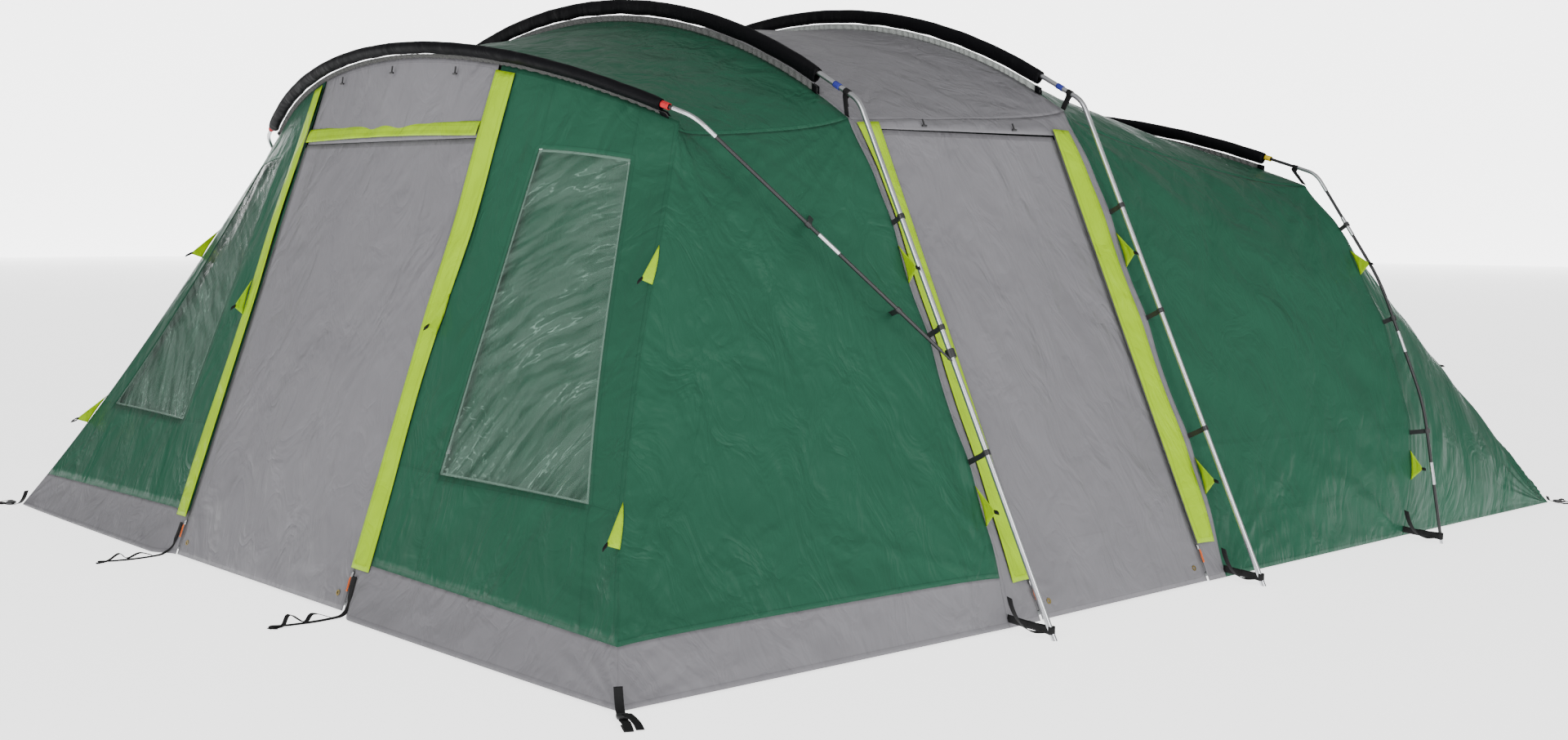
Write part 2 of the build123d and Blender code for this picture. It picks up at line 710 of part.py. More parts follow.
# Zips, covers and sliders of the side doors
side_covers = []
for index, name in ((0, "side_zip_slider_front"), (1, "side_zip_slider_rear")):
    step = (2 * index - 1) * half_gap
    low = side_wall(side_door_edge(index, zip_foot_z) + step, zip_foot_z)
    high = side_wall(SIDE_DOOR_TOP[index] + step, SIDE_HINGE_Z - ZIP_GAP)
    tapes.append(zip_tape(low, high, side_out))
    cover_low = side_wall(side_door_edge(index, COVER_FOOT_Z), COVER_FOOT_Z)
    cover_high = side_wall(SIDE_DOOR_TOP[index], SIDE_HINGE_Z)
    side_covers.append(zip_cover(cover_low, cover_high, Vector(0, 2 * index - 1, 0), side_out))
    seat = low + (high - low).normalized() * (SLIDER_Z - zip_foot_z)
    each_side(zip_slider(seat, high, side_out), name)
with BuildPart() as side_cover_pair:
    for cover in side_covers:
        add(cover)
each_side(side_cover_pair.part, "side_zip_covers")
save(mirrored_group(tapes), "zip_tapes")

# Clips that draw the walls to the poles
CLIP_WIDTH = 18
clips = []
clip_shares = {
    "porch_hoop": (0.60, 0.80),
    "front_hoop": (0.30, 0.545, 0.77),
    "middle_hoop": (0.28, 0.53, 0.76),
    "rear_hoop": (0.28, 0.56, 0.83),
}
porch_clip_line = (1.62, 1.2)
for share in clip_shares["porch_hoop"]:
    sewn = patch(porch_wall_corners, porch_clip_line[0] - share * porch_clip_line[1], share)
    clips.append(clip(sewn, *[in_space(porch_hoop, p) for p in porch_run[0]], porch_hoop.rod, CLIP_WIDTH))
for hoop, corners in ((front_hoop, middle_wall_corners), (middle_hoop, rear_wall_corners)):
    leg_ends = [in_space(hoop, point) for point in (hoop.foot, bend_point(hoop))]
    for share in clip_shares[hoop.name]:
        clips.append(clip(patch(corners, 0, share), *leg_ends, hoop.rod, CLIP_WIDTH))
for share, run in zip(clip_shares["rear_hoop"], rear_runs):
    leg_ends = [in_space(rear_hoop, point) for point in run]
    clips.append(clip(patch(rear_wall_corners, 1, share), *leg_ends, rear_hoop.rod + 2, CLIP_WIDTH))
save(mirrored_group(clips), "pole_clips")

# Webbing at the ground: foot straps round the poles, corner straps and door straps
STRAP_WIDTH = 25
foot_strap_share = 0.03


def corner_strap(corner, outward, rise, reach):
    """Webbing sewn up a corner, brought down to the ground and led out to its peg loop."""
    outward = outward.normalized()
    up = Vector(0, 0, 1)
    plane = Plane(origin=Vector(corner.X, corner.Y, 0), x_dir=outward, z_dir=outward.cross(up))
    near = 12
    with BuildPart() as strap:
        with BuildSketch(plane):
            Polygon(
                (near, 0), (reach, 0), (reach, CLOTH), (near + CLOTH, CLOTH),
                (near + CLOTH - rise / 2, rise), (near - rise / 2, rise),
                align=None,
            )
        extrude(amount=STRAP_WIDTH / 2, both=True)
    return strap.part


straps = []
for hoop, corners, u in (
    (front_hoop, middle_wall_corners, 0),
    (middle_hoop, rear_wall_corners, 0),
    (rear_hoop, rear_wall_corners, 1),
):
    leg_ends = [in_space(hoop, point) for point in (hoop.foot, (hoop.knees + (bend_point(hoop),))[0])]
    straps.append(clip(patch(corners, u, foot_strap_share), *leg_ends, hoop.rod, STRAP_WIDTH))
corner_rise = 70
corner_reach = 180
straps.append(corner_strap(front_corner, Vector(1, -0.55, 0), corner_rise, corner_reach))
tail_out = Vector(0.8, 1, 0).normalized()
tail_reach = (TAIL_STRAP_END - Y_TAIL_HEM - tail_out.X * STRAP_WIDTH / 2) / tail_out.Y
straps.append(corner_strap(tail_corner, tail_out, corner_rise / 2, tail_reach))
door_strap_x = DOOR_FOOT_HALF + 2 * ZIP_GAP + STRAP_WIDTH
with BuildPart() as door_strap:
    with BuildSketch():
        strap_length = DOOR_SET_BACK - FRONT_STRAP_END - HEM_LIFT
        with Locations((door_strap_x, FRONT_STRAP_END - Y_CENTRE + strap_length / 2)):
            Rectangle(STRAP_WIDTH, strap_length)
    extrude(amount=CLOTH)
straps.append(door_strap.part)
save(mirrored_group(straps), "peg_straps")

# Guy points: bright triangles sewn into the seams
GUY_BASE = 0.075
guys = []
for share in (0.27, 0.72):
    guys.append(guy_point(patch(porch_wall_corners, 0, share - GUY_BASE / 2),
                          patch(porch_wall_corners, 0, share + GUY_BASE / 2), Vector(1, -0.8, 0.3)))
for corners, u, shares in (
    (middle_wall_corners, 0, (0.22, 0.69)),
    (rear_wall_corners, 0, (0.20, 0.68)),
    (rear_wall_corners, 1, (0.17, 0.74)),
):
    for share in shares:
        guys.append(guy_point(patch(corners, u, share - GUY_BASE / 2),
                              patch(corners, u, share + GUY_BASE / 2), Vector(1, -0.2, 0.45)))
tail_edge = [tail_corner + (rear_shoulder - tail_corner) * share for share in (0.42, 0.42 + GUY_BASE)]
guys.append(guy_point(*tail_edge, Vector(1, 0.9, 0.5)))
save(mirrored_group(guys), "guy_points")

def toggle(seat, outward, down):
    """Toggle bar on a short loop below a door's top seam."""
    loop_length, loop_width, bar_radius, bar_half = 26, 6, 3.5, 11
    across = outward.cross(down)
    with BuildPart() as bar:
        with BuildSketch(Plane(origin=seat, x_dir=across, z_dir=down)):
            Rectangle(loop_width, CLOTH)
        extrude(amount=loop_length)
        with BuildSketch(Plane(origin=seat + down * loop_length, z_dir=across)):
            Circle(bar_radius)
        extrude(amount=bar_half, both=True)
    return bar.part


# Toggles that hold a rolled door
toggle_lift = 2 * CLOTH
toggle_drop = 30
toggle_stand = 18
HEADER_TOGGLES_X = (-400, 0, 400)
SIDE_TOGGLES_Y = (1880, 2370)
with BuildPart() as door_toggles:
    for x in HEADER_TOGGLES_X:
        seam = in_space(porch_hoop, (x, cloth_height(porch_hoop, x)))
        seat = seam - header_rise * toggle_drop + header_out * toggle_stand
        add(toggle(seat, header_out, header_rise * -1))
    for y in SIDE_TOGGLES_Y:
        for side in (1, -1):
            seat = side_wall(y, SIDE_HINGE_Z + 2 * toggle_lift + SKIRT_HEIGHT / 5) + side_out * toggle_lift
            bar = toggle(seat, side_out, side_slope.normalized())
            add(bar if side > 0 else bar.mirror(Plane.YZ))
save(door_toggles.part, "door_toggles")

# Groundsheet
with BuildPart() as groundsheet:
    with BuildSketch() as floor:
        right = [front_corner, front_hem, rear_hem, tail_corner]
        left = [Vector(-point.X, point.Y, 0) for point in reversed(right)]
        Polygon(*[(point.X, point.Y) for point in right + left], align=None)
        offset(amount=-GROUNDSHEET_INSET, kind=Kind.INTERSECTION)
    extrude(amount=GROUNDSHEET)
save(groundsheet.part, "groundsheet")
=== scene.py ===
"""Looks of a family tunnel tent: its cloth, film, webbing and fittings around the pole frame.

Metres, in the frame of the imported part: +Z up, the front door faces -Y, the side that shows is +X.
Distances along the tent are given from the front hem line, and site() moves them into the frame.
"""

import logging
from dataclasses import dataclass, field
from enum import Enum
from typing import Sequence

import bpy
import numpy as np
from mathutils import Matrix


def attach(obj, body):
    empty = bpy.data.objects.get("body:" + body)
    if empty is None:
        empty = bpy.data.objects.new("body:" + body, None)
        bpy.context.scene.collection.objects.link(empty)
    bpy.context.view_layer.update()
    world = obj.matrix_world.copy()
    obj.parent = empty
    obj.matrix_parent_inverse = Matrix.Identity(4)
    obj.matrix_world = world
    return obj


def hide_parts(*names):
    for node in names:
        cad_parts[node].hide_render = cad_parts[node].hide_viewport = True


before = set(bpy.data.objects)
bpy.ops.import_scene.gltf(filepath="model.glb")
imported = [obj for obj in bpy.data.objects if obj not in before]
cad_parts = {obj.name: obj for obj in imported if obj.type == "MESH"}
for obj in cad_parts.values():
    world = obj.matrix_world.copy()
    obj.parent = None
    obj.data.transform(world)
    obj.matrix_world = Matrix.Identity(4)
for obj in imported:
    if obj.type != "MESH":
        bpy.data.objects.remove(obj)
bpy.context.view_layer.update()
LOG = logging.getLogger("tent")
Array = np.ndarray
Socket = bpy.types.NodeSocket

# Middle of the frame along the tent, heights of the hems and of the skirt, and the cloth's thickness.
Y_CENTRE, HEM, SKIRT, CLOTH = 2.5575, 0.008, 0.145, 0.0012
# Side walls of the main bays: half width at the hem and at the shoulder, and the shoulder's height.
WALL_FOOT, WALL_TOP, WALL_RISE = 2.235, 1.475, 1.644
SIDE_LEAN = (WALL_FOOT - WALL_TOP) / (WALL_RISE - HEM)
# Front: lean and set-back of the door's plane, heights of its hinge and of the header's upper corners.
FRONT_LEAN, FRONT_SET, FRONT_HINGE, HEADER_TOP = 0.36, 0.024, 1.570, 1.815
# Doors: half widths of the front one, height of every hem, and the side ones' hinge and both their edges.
DOOR_TOP, DOOR_FOOT, DOOR_HEM = 0.612, 0.634, 0.010
SIDE_HINGE, SIDE_TOP, SIDE_FOOT = 1.610, (1.645, 2.590), (1.675, 2.600)
ZIP_GAP = 0.012
# Seeded waves start anywhere within about one turn.
PHASE = 6.28


class Side(Enum):
    """The two mirrored sides of the tent."""

    RIGHT = 1
    LEFT = -1

    @property
    def word(self) -> str:
        """The side as part of a name."""
        return self.name.lower()

    def place(self, points: Array) -> Array:
        """Points of the right-hand side, on this side."""
        return points * np.array([self.value, 1.0, 1.0])


def site(x: float, y: float, z: float) -> Array:
    """A point of the tent, from its middle line, the front hem line and the ground."""
    return np.array([x, y - Y_CENTRE, z])


def smooth(low: float, high: float, values: Array) -> Array:
    """Smooth step from 0 at low to 1 at high: t squared times (3 - 2t)."""
    t = np.clip((values - low) / (high - low), 0.0, 1.0)
    return t * t * (3.0 - 2.0 * t)


def unit(vectors: Array) -> Array:
    """Vectors over their lengths."""
    return vectors / np.maximum(np.linalg.norm(vectors, axis=-1, keepdims=True), 1e-9)


def run_lengths(points: Array, axis: int) -> Array:
    """Length travelled along rows or columns of a grid, from 0.

    Args:
        points: Grid of points.
        axis: 0 along the columns, 1 along the rows.

    Returns:
        Lengths, one for each point.
    """
    steps = np.linalg.norm(np.diff(points, axis=axis), axis=-1)
    start = np.zeros_like(np.take(steps, [0], axis=axis))
    return np.concatenate([start, np.cumsum(steps, axis=axis)], axis=axis)


def points_at(run: Array, shares: Array, wanted: Array | float) -> Array:
    """Points at wanted shares of a run of points, given the share of each of its points."""
    return np.stack([np.interp(wanted, shares, run[:, k]) for k in range(3)], -1)


def quads(rows: int, columns: int) -> Array:
    """Corner numbers of each cell of a grid, as rows of cells."""
    index = np.arange(rows * columns).reshape(rows, columns)
    return np.stack([index[:-1, :-1], index[:-1, 1:], index[1:, 1:], index[1:, :-1]], -1)


def grid_normals(points: Array) -> Array:
    """Unit normals of a grid: the cross product of its column and row directions."""
    return unit(np.cross(np.gradient(points, axis=1), np.gradient(points, axis=0)))


def coons(bottom: Array, top: Array, left: Array, right: Array) -> Array:
    """Surface blended from four edges: both ruled surfaces added, less the corner blend.

    Args:
        bottom: Points of the lower edge, from left to right.
        top: Points of the upper edge, as many as the lower one has.
        left: Points of the left edge, from the bottom up.
        right: Points of the right edge, as many as the left one has.

    Returns:
        A grid of points, rows from the bottom up and columns from left to right.
    """
    u = np.linspace(0, 1, len(bottom))[None, :, None]
    v = np.linspace(0, 1, len(left))[:, None, None]
    ruled = (1 - v) * bottom[None] + v * top[None] + (1 - u) * left[:, None] + u * right[:, None]
    low = (1 - u) * bottom[0] + u * bottom[-1]
    high = (1 - u) * top[0] + u * top[-1]
    return ruled - (1 - v) * low - v * high


def membrane(grid: Array, rounds: int, held: Array | None = None) -> Array:
    """Stretched cloth: each free point moves to the mean of its four neighbours, many times.

    Args:
        grid: Points of the surface, whose four edges stay where they are.
        rounds: How often the points move.
        held: Points that stay where they are, as a mask over the grid.

    Returns:
        The relaxed grid.
    """
    film = grid.copy()
    stay = np.zeros(grid.shape[:2], bool) if held is None else held
    for _ in range(rounds):
        mean = (film[:-2, 1:-1] + film[2:, 1:-1] + film[1:-1, :-2] + film[1:-1, 2:]) / 4
        film[1:-1, 1:-1] = np.where(stay[1:-1, 1:-1, None], film[1:-1, 1:-1], mean)
    return film


@dataclass
class Surface:
    """A smooth surface through a grid of points, read at shares u across and v up."""

    grid: Array

    @staticmethod
    def stencil(share: Array, count: int) -> tuple[Array, Array]:
        """Catmull-Rom neighbours and weights of places along a run of samples.

        Args:
            share: Places, from 0 to 1.
            count: How many samples the run has.

        Returns:
            Four sample numbers and four weights for each place.
        """
        x = np.clip(share, 0, 1) * (count - 1)
        cell = np.minimum(x.astype(int), count - 2)
        f = (x - cell)[..., None]
        near = np.clip(cell[..., None] + np.arange(-1, 3), 0, count - 1)
        weights = np.concatenate(
            [-f + 2 * f**2 - f**3, 2 - 5 * f**2 + 3 * f**3, f + 4 * f**2 - 3 * f**3, f**3 - f**2], -1
        )
        return near, weights / 2

    def at(self, u: Array, v: Array) -> Array:
        """Points of the surface at shares u and v.

        Args:
            u: Shares across, from 0 to 1.
            v: Shares up, in the same shape.

        Returns:
            One point for each pair of shares.
        """
        rows, columns = self.grid.shape[:2]
        near_v, weight_v = self.stencil(np.asarray(v, float), rows)
        near_u, weight_u = self.stencil(np.asarray(u, float), columns)
        around = self.grid[near_v[..., :, None], near_u[..., None, :]]
        return np.einsum("...a,...b,...abc->...c", weight_v, weight_u, around)

    def even(self, rows: int, columns: int) -> Array:
        """The surface as a grid of other size."""
        return self.at(*np.meshgrid(np.linspace(0, 1, columns), np.linspace(0, 1, rows)))


def block_map(corners: Array, rows: Sequence[int], columns: Sequence[int]) -> Array:
    """Grid of places in which each block between four corners is divided evenly.

    Args:
        corners: Corner places of the blocks, as a grid of pairs.
        rows: Steps up each row of blocks.
        columns: Steps across each column of blocks.

    Returns:
        A grid of pairs, bilinear inside each block.
    """
    up = np.concatenate([k + np.arange(n) / n for k, n in enumerate(rows)] + [[len(rows)]])
    across = np.concatenate([k + np.arange(n) / n for k, n in enumerate(columns)] + [[len(columns)]])
    low_row = np.minimum(up.astype(int), len(rows) - 1)
    low_column = np.minimum(across.astype(int), len(columns) - 1)
    v = (up - low_row)[:, None, None]
    u = (across - low_column)[None, :, None]
    near, far = low_column[None], low_column[None] + 1
    low = (1 - u) * corners[low_row[:, None], near] + u * corners[low_row[:, None], far]
    high = (1 - u) * corners[low_row[:, None] + 1, near] + u * corners[low_row[:, None] + 1, far]
    return (1 - v) * low + v * high


def creases(points: Array, seed: int, depth: float, lean: float = 0.0) -> Array:
    """Soft wrinkles as a height over a grid: seeded sine waves across the pull, faded at the edges.

    Args:
        points: Grid of the cloth's points.
        seed: Chooses the waves, the same on each run.
        depth: Largest height of the wrinkles.
        lean: Direction of the pull, in radians from upright.

    Returns:
        Heights along the normals.
    """
    chance = np.random.default_rng(seed)
    u, v = run_lengths(points, 1), run_lengths(points, 0)
    height = np.zeros(u.shape)
    for _ in range(9):
        turn = lean + chance.normal(0, 0.35)
        length = chance.uniform(0.09, 0.42)
        across = u * np.cos(turn) + v * np.sin(turn)
        along = v * np.cos(turn) - u * np.sin(turn)
        patch = np.sin(along * chance.uniform(2, 6) + chance.uniform(0, PHASE)) ** 2
        height += length * np.sin(across * 2 * np.pi / length + chance.uniform(0, PHASE)) * patch
    fade = smooth(0, 0.12, edge_distance(points))
    return depth * fade * height / max(np.abs(height).max(), 1e-9)


def ridged(turn: Array) -> Array:
    """Sharp ridges between wide flats, twice a turn, with a mean near 0."""
    return (1 - np.abs(np.sin(turn))) ** 1.6 - 0.26


def wander(run: Array, chance: np.random.Generator, low: float, high: float, count: int) -> Array:
    """Seeded sine waves along a run, added up."""
    waves, starts = chance.uniform(low, high, count), chance.uniform(0, PHASE, count)
    return sum(np.sin(run * wave + start) for wave, start in zip(waves, starts))


def fan(points: Array, pull: Array, seed: int, depth: float, reach: float = 0.38,
        near: float = 0.10) -> Array:
    """Folds that fan out from a place where the cloth is pulled, as heights over a grid.

    Args:
        points: Grid of the cloth's points.
        pull: The place that pulls; the fold heights fade to nothing at it and far from it.
        seed: Chooses the folds, the same on each run.
        depth: Largest height of the folds.
        reach: Distance over which they fade.
        near: Distance from the pull at which they are highest.

    Returns:
        Heights along the normals.
    """
    chance = np.random.default_rng(seed)
    away = np.linalg.norm(points - pull, axis=-1)
    row, column = np.unravel_index(int(away.argmin()), away.shape)
    u, v = run_lengths(points, 1), run_lengths(points, 0)
    turn = np.arctan2(v - v[row, column], u - u[row, column])
    waves = sum(ridged(k * turn + chance.uniform(0, PHASE)) for k in chance.uniform(5, 14, 4)) / 2
    fade = smooth(0.0, near, away) * np.exp(-away / reach) * smooth(0, 0.03, edge_distance(points))
    return depth * waves * fade


def gathers(points: Array, seed: int, depth: float, pitch: float = 0.062, fall: float = 0.050) -> Array:
    """Small puckers below the top seam of a grid, which come and go along it and die away down the cloth.

    Args:
        points: Grid of the cloth's points.
        seed: Chooses where the puckers lie, the same on each run.
        depth: Largest height of the puckers.
        pitch: Distance from one pucker to the next.
        fall: Distance down the cloth over which they die away.

    Returns:
        Heights along the normals.
    """
    u, v = run_lengths(points, 1), run_lengths(points, 0)
    down, side = v[-1:] - v, np.minimum(u, u[:, -1:] - u)
    drift = wander(u, np.random.default_rng(seed), 3, 17, 4)
    wave = ridged(u * np.pi / pitch + 1.1 * drift) * smooth(-0.3, 1.2, np.sin(u * 3.1 + drift))
    return depth * wave * smooth(0, 0.012, down) * np.exp(-down / fall) * smooth(0, 0.05, side)


def edge_distance(points: Array) -> Array:
    """Distance from each point of a grid to the nearest edge of the grid, along its rows and columns."""
    u, v = run_lengths(points, 1), run_lengths(points, 0)
    return np.minimum(np.minimum(u, u[:, -1:] - u), np.minimum(v, v[-1:] - v))


def lifted(points: Array, height: Array | float, behind: Array) -> Array:
    """A grid moved along its normals, away from a point behind it.

    Args:
        points: Grid of points.
        height: Distance for each point, or one for all.
        behind: The point behind it.

    Returns:
        The moved grid.
    """
    normals = grid_normals(points)
    sign = np.sign(np.sum((points - behind).reshape(-1, 3) * normals.reshape(-1, 3)))
    return points + normals * sign * np.asarray(height)[..., None]


def inside_of(points: Array) -> Array:
    """A point inside the tent, level with the middle of some cloth."""
    return np.array([0.0, float(np.clip(points[..., 1].mean(), -1.6, 1.2)), 0.5])


def curve(stops: Sequence, count: int) -> Array:
    """A smooth run of points through a few stops."""
    near, weights = Surface.stencil(np.linspace(0, 1, count), len(stops))
    return np.einsum("ab,abc->ac", weights, np.asarray(stops, float)[near])


def ribbon(path: Array, across: Array, width: Array | float, columns: int = 5) -> Array:
    """Grid of a strip of webbing along a path, its width laid along a direction at each point.

    Args:
        path: Points along the strip's middle.
        across: Direction of its width, one for all points or one for each.
        width: One width, or one for each point.
        columns: Points across the strip.

    Returns:
        A grid of points, rows along the path.
    """
    share = np.linspace(-0.5, 0.5, columns)[None, :, None]
    wide = np.broadcast_to(np.asarray(width, float), (len(path),))[:, None, None]
    return path[:, None] + np.broadcast_to(across, path.shape)[:, None] * share * wide


def tube(path: Array, radius: Array | float, square: Array, sides: int = 16) -> Array:
    """Grid of a tube: circles round a path, each in the plane of its two square directions.

    Args:
        path: Points along the tube's middle.
        radius: One radius, one for each point, or one for each point and side.
        square: A direction that is never along the path, from which the circles start.
        sides: Points round the tube; the first is repeated at the end.

    Returns:
        A grid of points, rows along the path and columns round it.
    """
    ahead = unit(np.gradient(path, axis=0))
    first = unit(np.cross(ahead, np.broadcast_to(square, path.shape)))
    second = np.cross(ahead, first)
    turn = np.linspace(0, 2 * np.pi, sides + 1)[None, :, None]
    round_it = first[:, None] * np.cos(turn) + second[:, None] * np.sin(turn)
    size = np.asarray(radius, float)
    size = size.reshape(size.shape + (1,) * (3 - size.ndim)) if size.ndim else size
    return path[:, None] + round_it * size


def bead(centre: Array, along: Array, across: Array, sizes: Sequence[float], power: float = 0.6) -> Array:
    """Grid of a rounded block: an ellipsoid squared off by a power of its sines and cosines.

    Args:
        centre: Middle of the block.
        along: Direction of its length.
        across: Direction of its width, square to its length.
        sizes: Half sizes across, through and along.
        power: 1 for an ellipsoid, less for a squarer block.

    Returns:
        A closed grid of points.
    """
    over = np.linspace(-np.pi / 2, np.pi / 2, 13)[:, None]
    turn = np.linspace(0, 2 * np.pi, 21)[None]

    def soft(values: Array) -> Array:
        """Values with their size raised to the power."""
        return np.sign(values) * np.abs(values) ** power

    parts = (soft(np.cos(over)) * soft(np.cos(turn)), soft(np.cos(over)) * soft(np.sin(turn)),
             soft(np.sin(over)) + 0 * turn)
    axes = (unit(across), unit(np.cross(along, across)), unit(along))
    return centre + sum(part[..., None] * axis * size for part, axis, size in zip(parts, axes, sizes))


@dataclass
class Hoop:
    """A pole hoop in its plane: an arc over the roof on two legs."""

    y: float
    base: float
    lean: float
    crown: float
    radius: float
    drop: float
    shoulder: float
    joint: float

    def place(self, x: Array, height: Array) -> Array:
        """Points of the hoop's plane, which leans forward, as points of the frame.

        Args:
            x: Distances from the middle line.
            height: Distances up the plane from the hoop's base.

        Returns:
            One point for each pair.
        """
        tilt = np.radians(self.lean)
        x, height = np.broadcast_arrays(np.asarray(x, float), np.asarray(height, float))
        y = self.y - Y_CENTRE - height * np.sin(tilt)
        return np.stack([x, y, self.base + height * np.cos(tilt)], -1)

    def arc(self, sink: float, half: float, count: int) -> Array:
        """Points on the roof arc lowered by sink, from x = half to x = -half.

        Args:
            sink: How far the arc lies inside the pole.
            half: Half width of the run.
            count: How many points.

        Returns:
            Points from right to left.
        """
        radius = self.radius - sink
        turn = np.linspace(1, -1, count) * np.arcsin(half / radius)
        return self.place(radius * np.sin(turn), self.crown - self.radius + radius * np.cos(turn))

    def cloth_at(self, x: float) -> Array:
        """Point of the cloth under the hoop at x."""
        radius = self.radius - self.drop
        return self.place(x, self.crown - self.radius + np.sqrt(radius**2 - x**2))


PORCH = Hoop(1.513, 0.833, 40.1, 1.410, 2.979, 0.050, 1.370, 1.300)
FRONT = Hoop(1.513, 0.0, 0.0, 2.132, 2.848, 0.065, 1.475, 1.290)
MIDDLE = Hoop(2.717, 0.0, 0.0, 2.183, 2.848, 0.065, 1.442, 1.290)
REAR = Hoop(3.970, 0.0, 0.0, 1.790, 5.323, 0.055, 1.740, 1.500)


class Graph:
    """A node material under construction, with a principled shader at its end."""

    def __init__(self, name: str) -> None:
        """Starts an empty material of that name.

        Args:
            name: The material's name.
        """
        self.material = bpy.data.materials.new(name)
        self.material.use_nodes = True
        self.tree = self.material.node_tree
        self.shader = self.tree.nodes["Principled BSDF"]
        self.places = self.add("ShaderNodeTexCoord")

    def add(self, kind: str, inputs: dict | None = None, **settings: object) -> bpy.types.Node:
        """Adds a node, sets its properties, and sets or links its inputs by name.

        Args:
            kind: Blender's name for the kind of node.
            inputs: Values or sockets by the name or number of the input.
            settings: Properties of the node.

        Returns:
            The node.
        """
        node = self.tree.nodes.new(kind)
        for key, value in settings.items():
            setattr(node, key, value)
        self.feed(node, inputs or {})
        return node

    def feed(self, node: bpy.types.Node, inputs: dict) -> None:
        """Sets or links inputs of a node by name or number.

        Args:
            node: The node.
            inputs: Values or sockets by the name or number of the input.
        """
        for key, value in inputs.items():
            if isinstance(value, Socket):
                self.tree.links.new(value, node.inputs[key])
            else:
                node.inputs[key].default_value = value

    def math(self, operation: str, first: Socket | float, second: Socket | float = 0.0) -> Socket:
        """The result of one sum."""
        return self.add("ShaderNodeMath", {0: first, 1: second}, operation=operation).outputs[0]

    def plus(self, first: Socket, second: Socket | float) -> Socket:
        """The sum of two values."""
        return self.math("ADD", first, second)

    def times(self, first: Socket, second: Socket | float) -> Socket:
        """The product of two values."""
        return self.math("MULTIPLY", first, second)

    def largest(self, first: Socket, second: Socket) -> Socket:
        """The larger of two values."""
        return self.math("MAXIMUM", first, second)

    def below(self, value: Socket, limit: float) -> Socket:
        """1 where a value is below a limit, 0 elsewhere."""
        return self.math("LESS_THAN", value, limit)

    def apart(self, value: Socket, middle: float) -> Socket:
        """How far a value lies from a middle one."""
        return self.math("ABSOLUTE", self.math("SUBTRACT", value, middle))

    def attribute(self, name: str) -> Socket:
        """The mesh's own value of that name."""
        return self.add("ShaderNodeAttribute", attribute_name=name).outputs["Fac"]

    def mix(self, share: Socket | float, first: Socket | tuple, second: Socket | tuple) -> Socket:
        """A colour between two others.

        Args:
            share: How much of the second colour shows.
            first: Colour at 0.
            second: Colour at 1.

        Returns:
            The mixed colour.
        """
        node = self.add("ShaderNodeMix", data_type="RGBA")
        self.feed(node, {0: share, 6: first, 7: second})
        return node.outputs[2]

    def noise(self, scale: float, detail: float = 3.0, stretch: tuple = (1, 1, 1), uv: bool = False,
              distortion: float = 0.0, turn: float = 0.0) -> Socket:
        """Noise from 0 to 1 on the object's own coordinates, or on its cloth's lengths, turned if asked.

        Args:
            scale: Waves in each metre.
            detail: How many finer layers it has.
            stretch: Scale along each axis.
            uv: Whether it lies on the lengths of the cloth.
            distortion: How much it is warped.
            turn: Turn of the coordinates, in radians.

        Returns:
            The noise.
        """
        source = self.places.outputs["UV" if uv else "Object"]
        if turn:
            source = self.add("ShaderNodeMapping", {"Vector": source, "Rotation": (0, 0, turn)}).outputs[0]
        mapped = self.add("ShaderNodeMapping", {"Vector": source, "Scale": stretch}).outputs[0]
        inputs = {"Vector": mapped, "Scale": scale, "Detail": detail, "Distortion": distortion}
        return self.add("ShaderNodeTexNoise", inputs).outputs["Fac"]

    def ramp(self, value: Socket, low: float, high: float, start: float = 0.0, end: float = 1.0) -> Socket:
        """A value moved from the range low to high into the range start to end."""
        return self.add("ShaderNodeMapRange", {0: value, 1: low, 2: high, 3: start, 4: end}).outputs[0]

    def bump(self, height: Socket, strength: float, distance: float, under: Socket | None = None) -> Socket:
        """A bumped normal, on top of another one.

        Args:
            height: The heights.
            strength: Share of their effect.
            distance: Height of a full step, in metres.
            under: The normal that is bumped, if not the surface.

        Returns:
            The normal.
        """
        inputs = {"Height": height, "Strength": strength, "Distance": distance}
        if under is not None:
            inputs["Normal"] = under
        return self.add("ShaderNodeBump", inputs).outputs[0]

    def surface(self, **sockets: object) -> bpy.types.Material:
        """Sets the shader's sockets, named with _ for a space, and returns the material."""
        self.feed(self.shader, {key.replace("_", " "): value for key, value in sockets.items()})
        return self.material


def tint(colour: tuple, share: float) -> tuple:
    """A colour made lighter or darker, as four numbers."""
    return (*[min(1.0, c * share) for c in colour[:3]], 1.0)


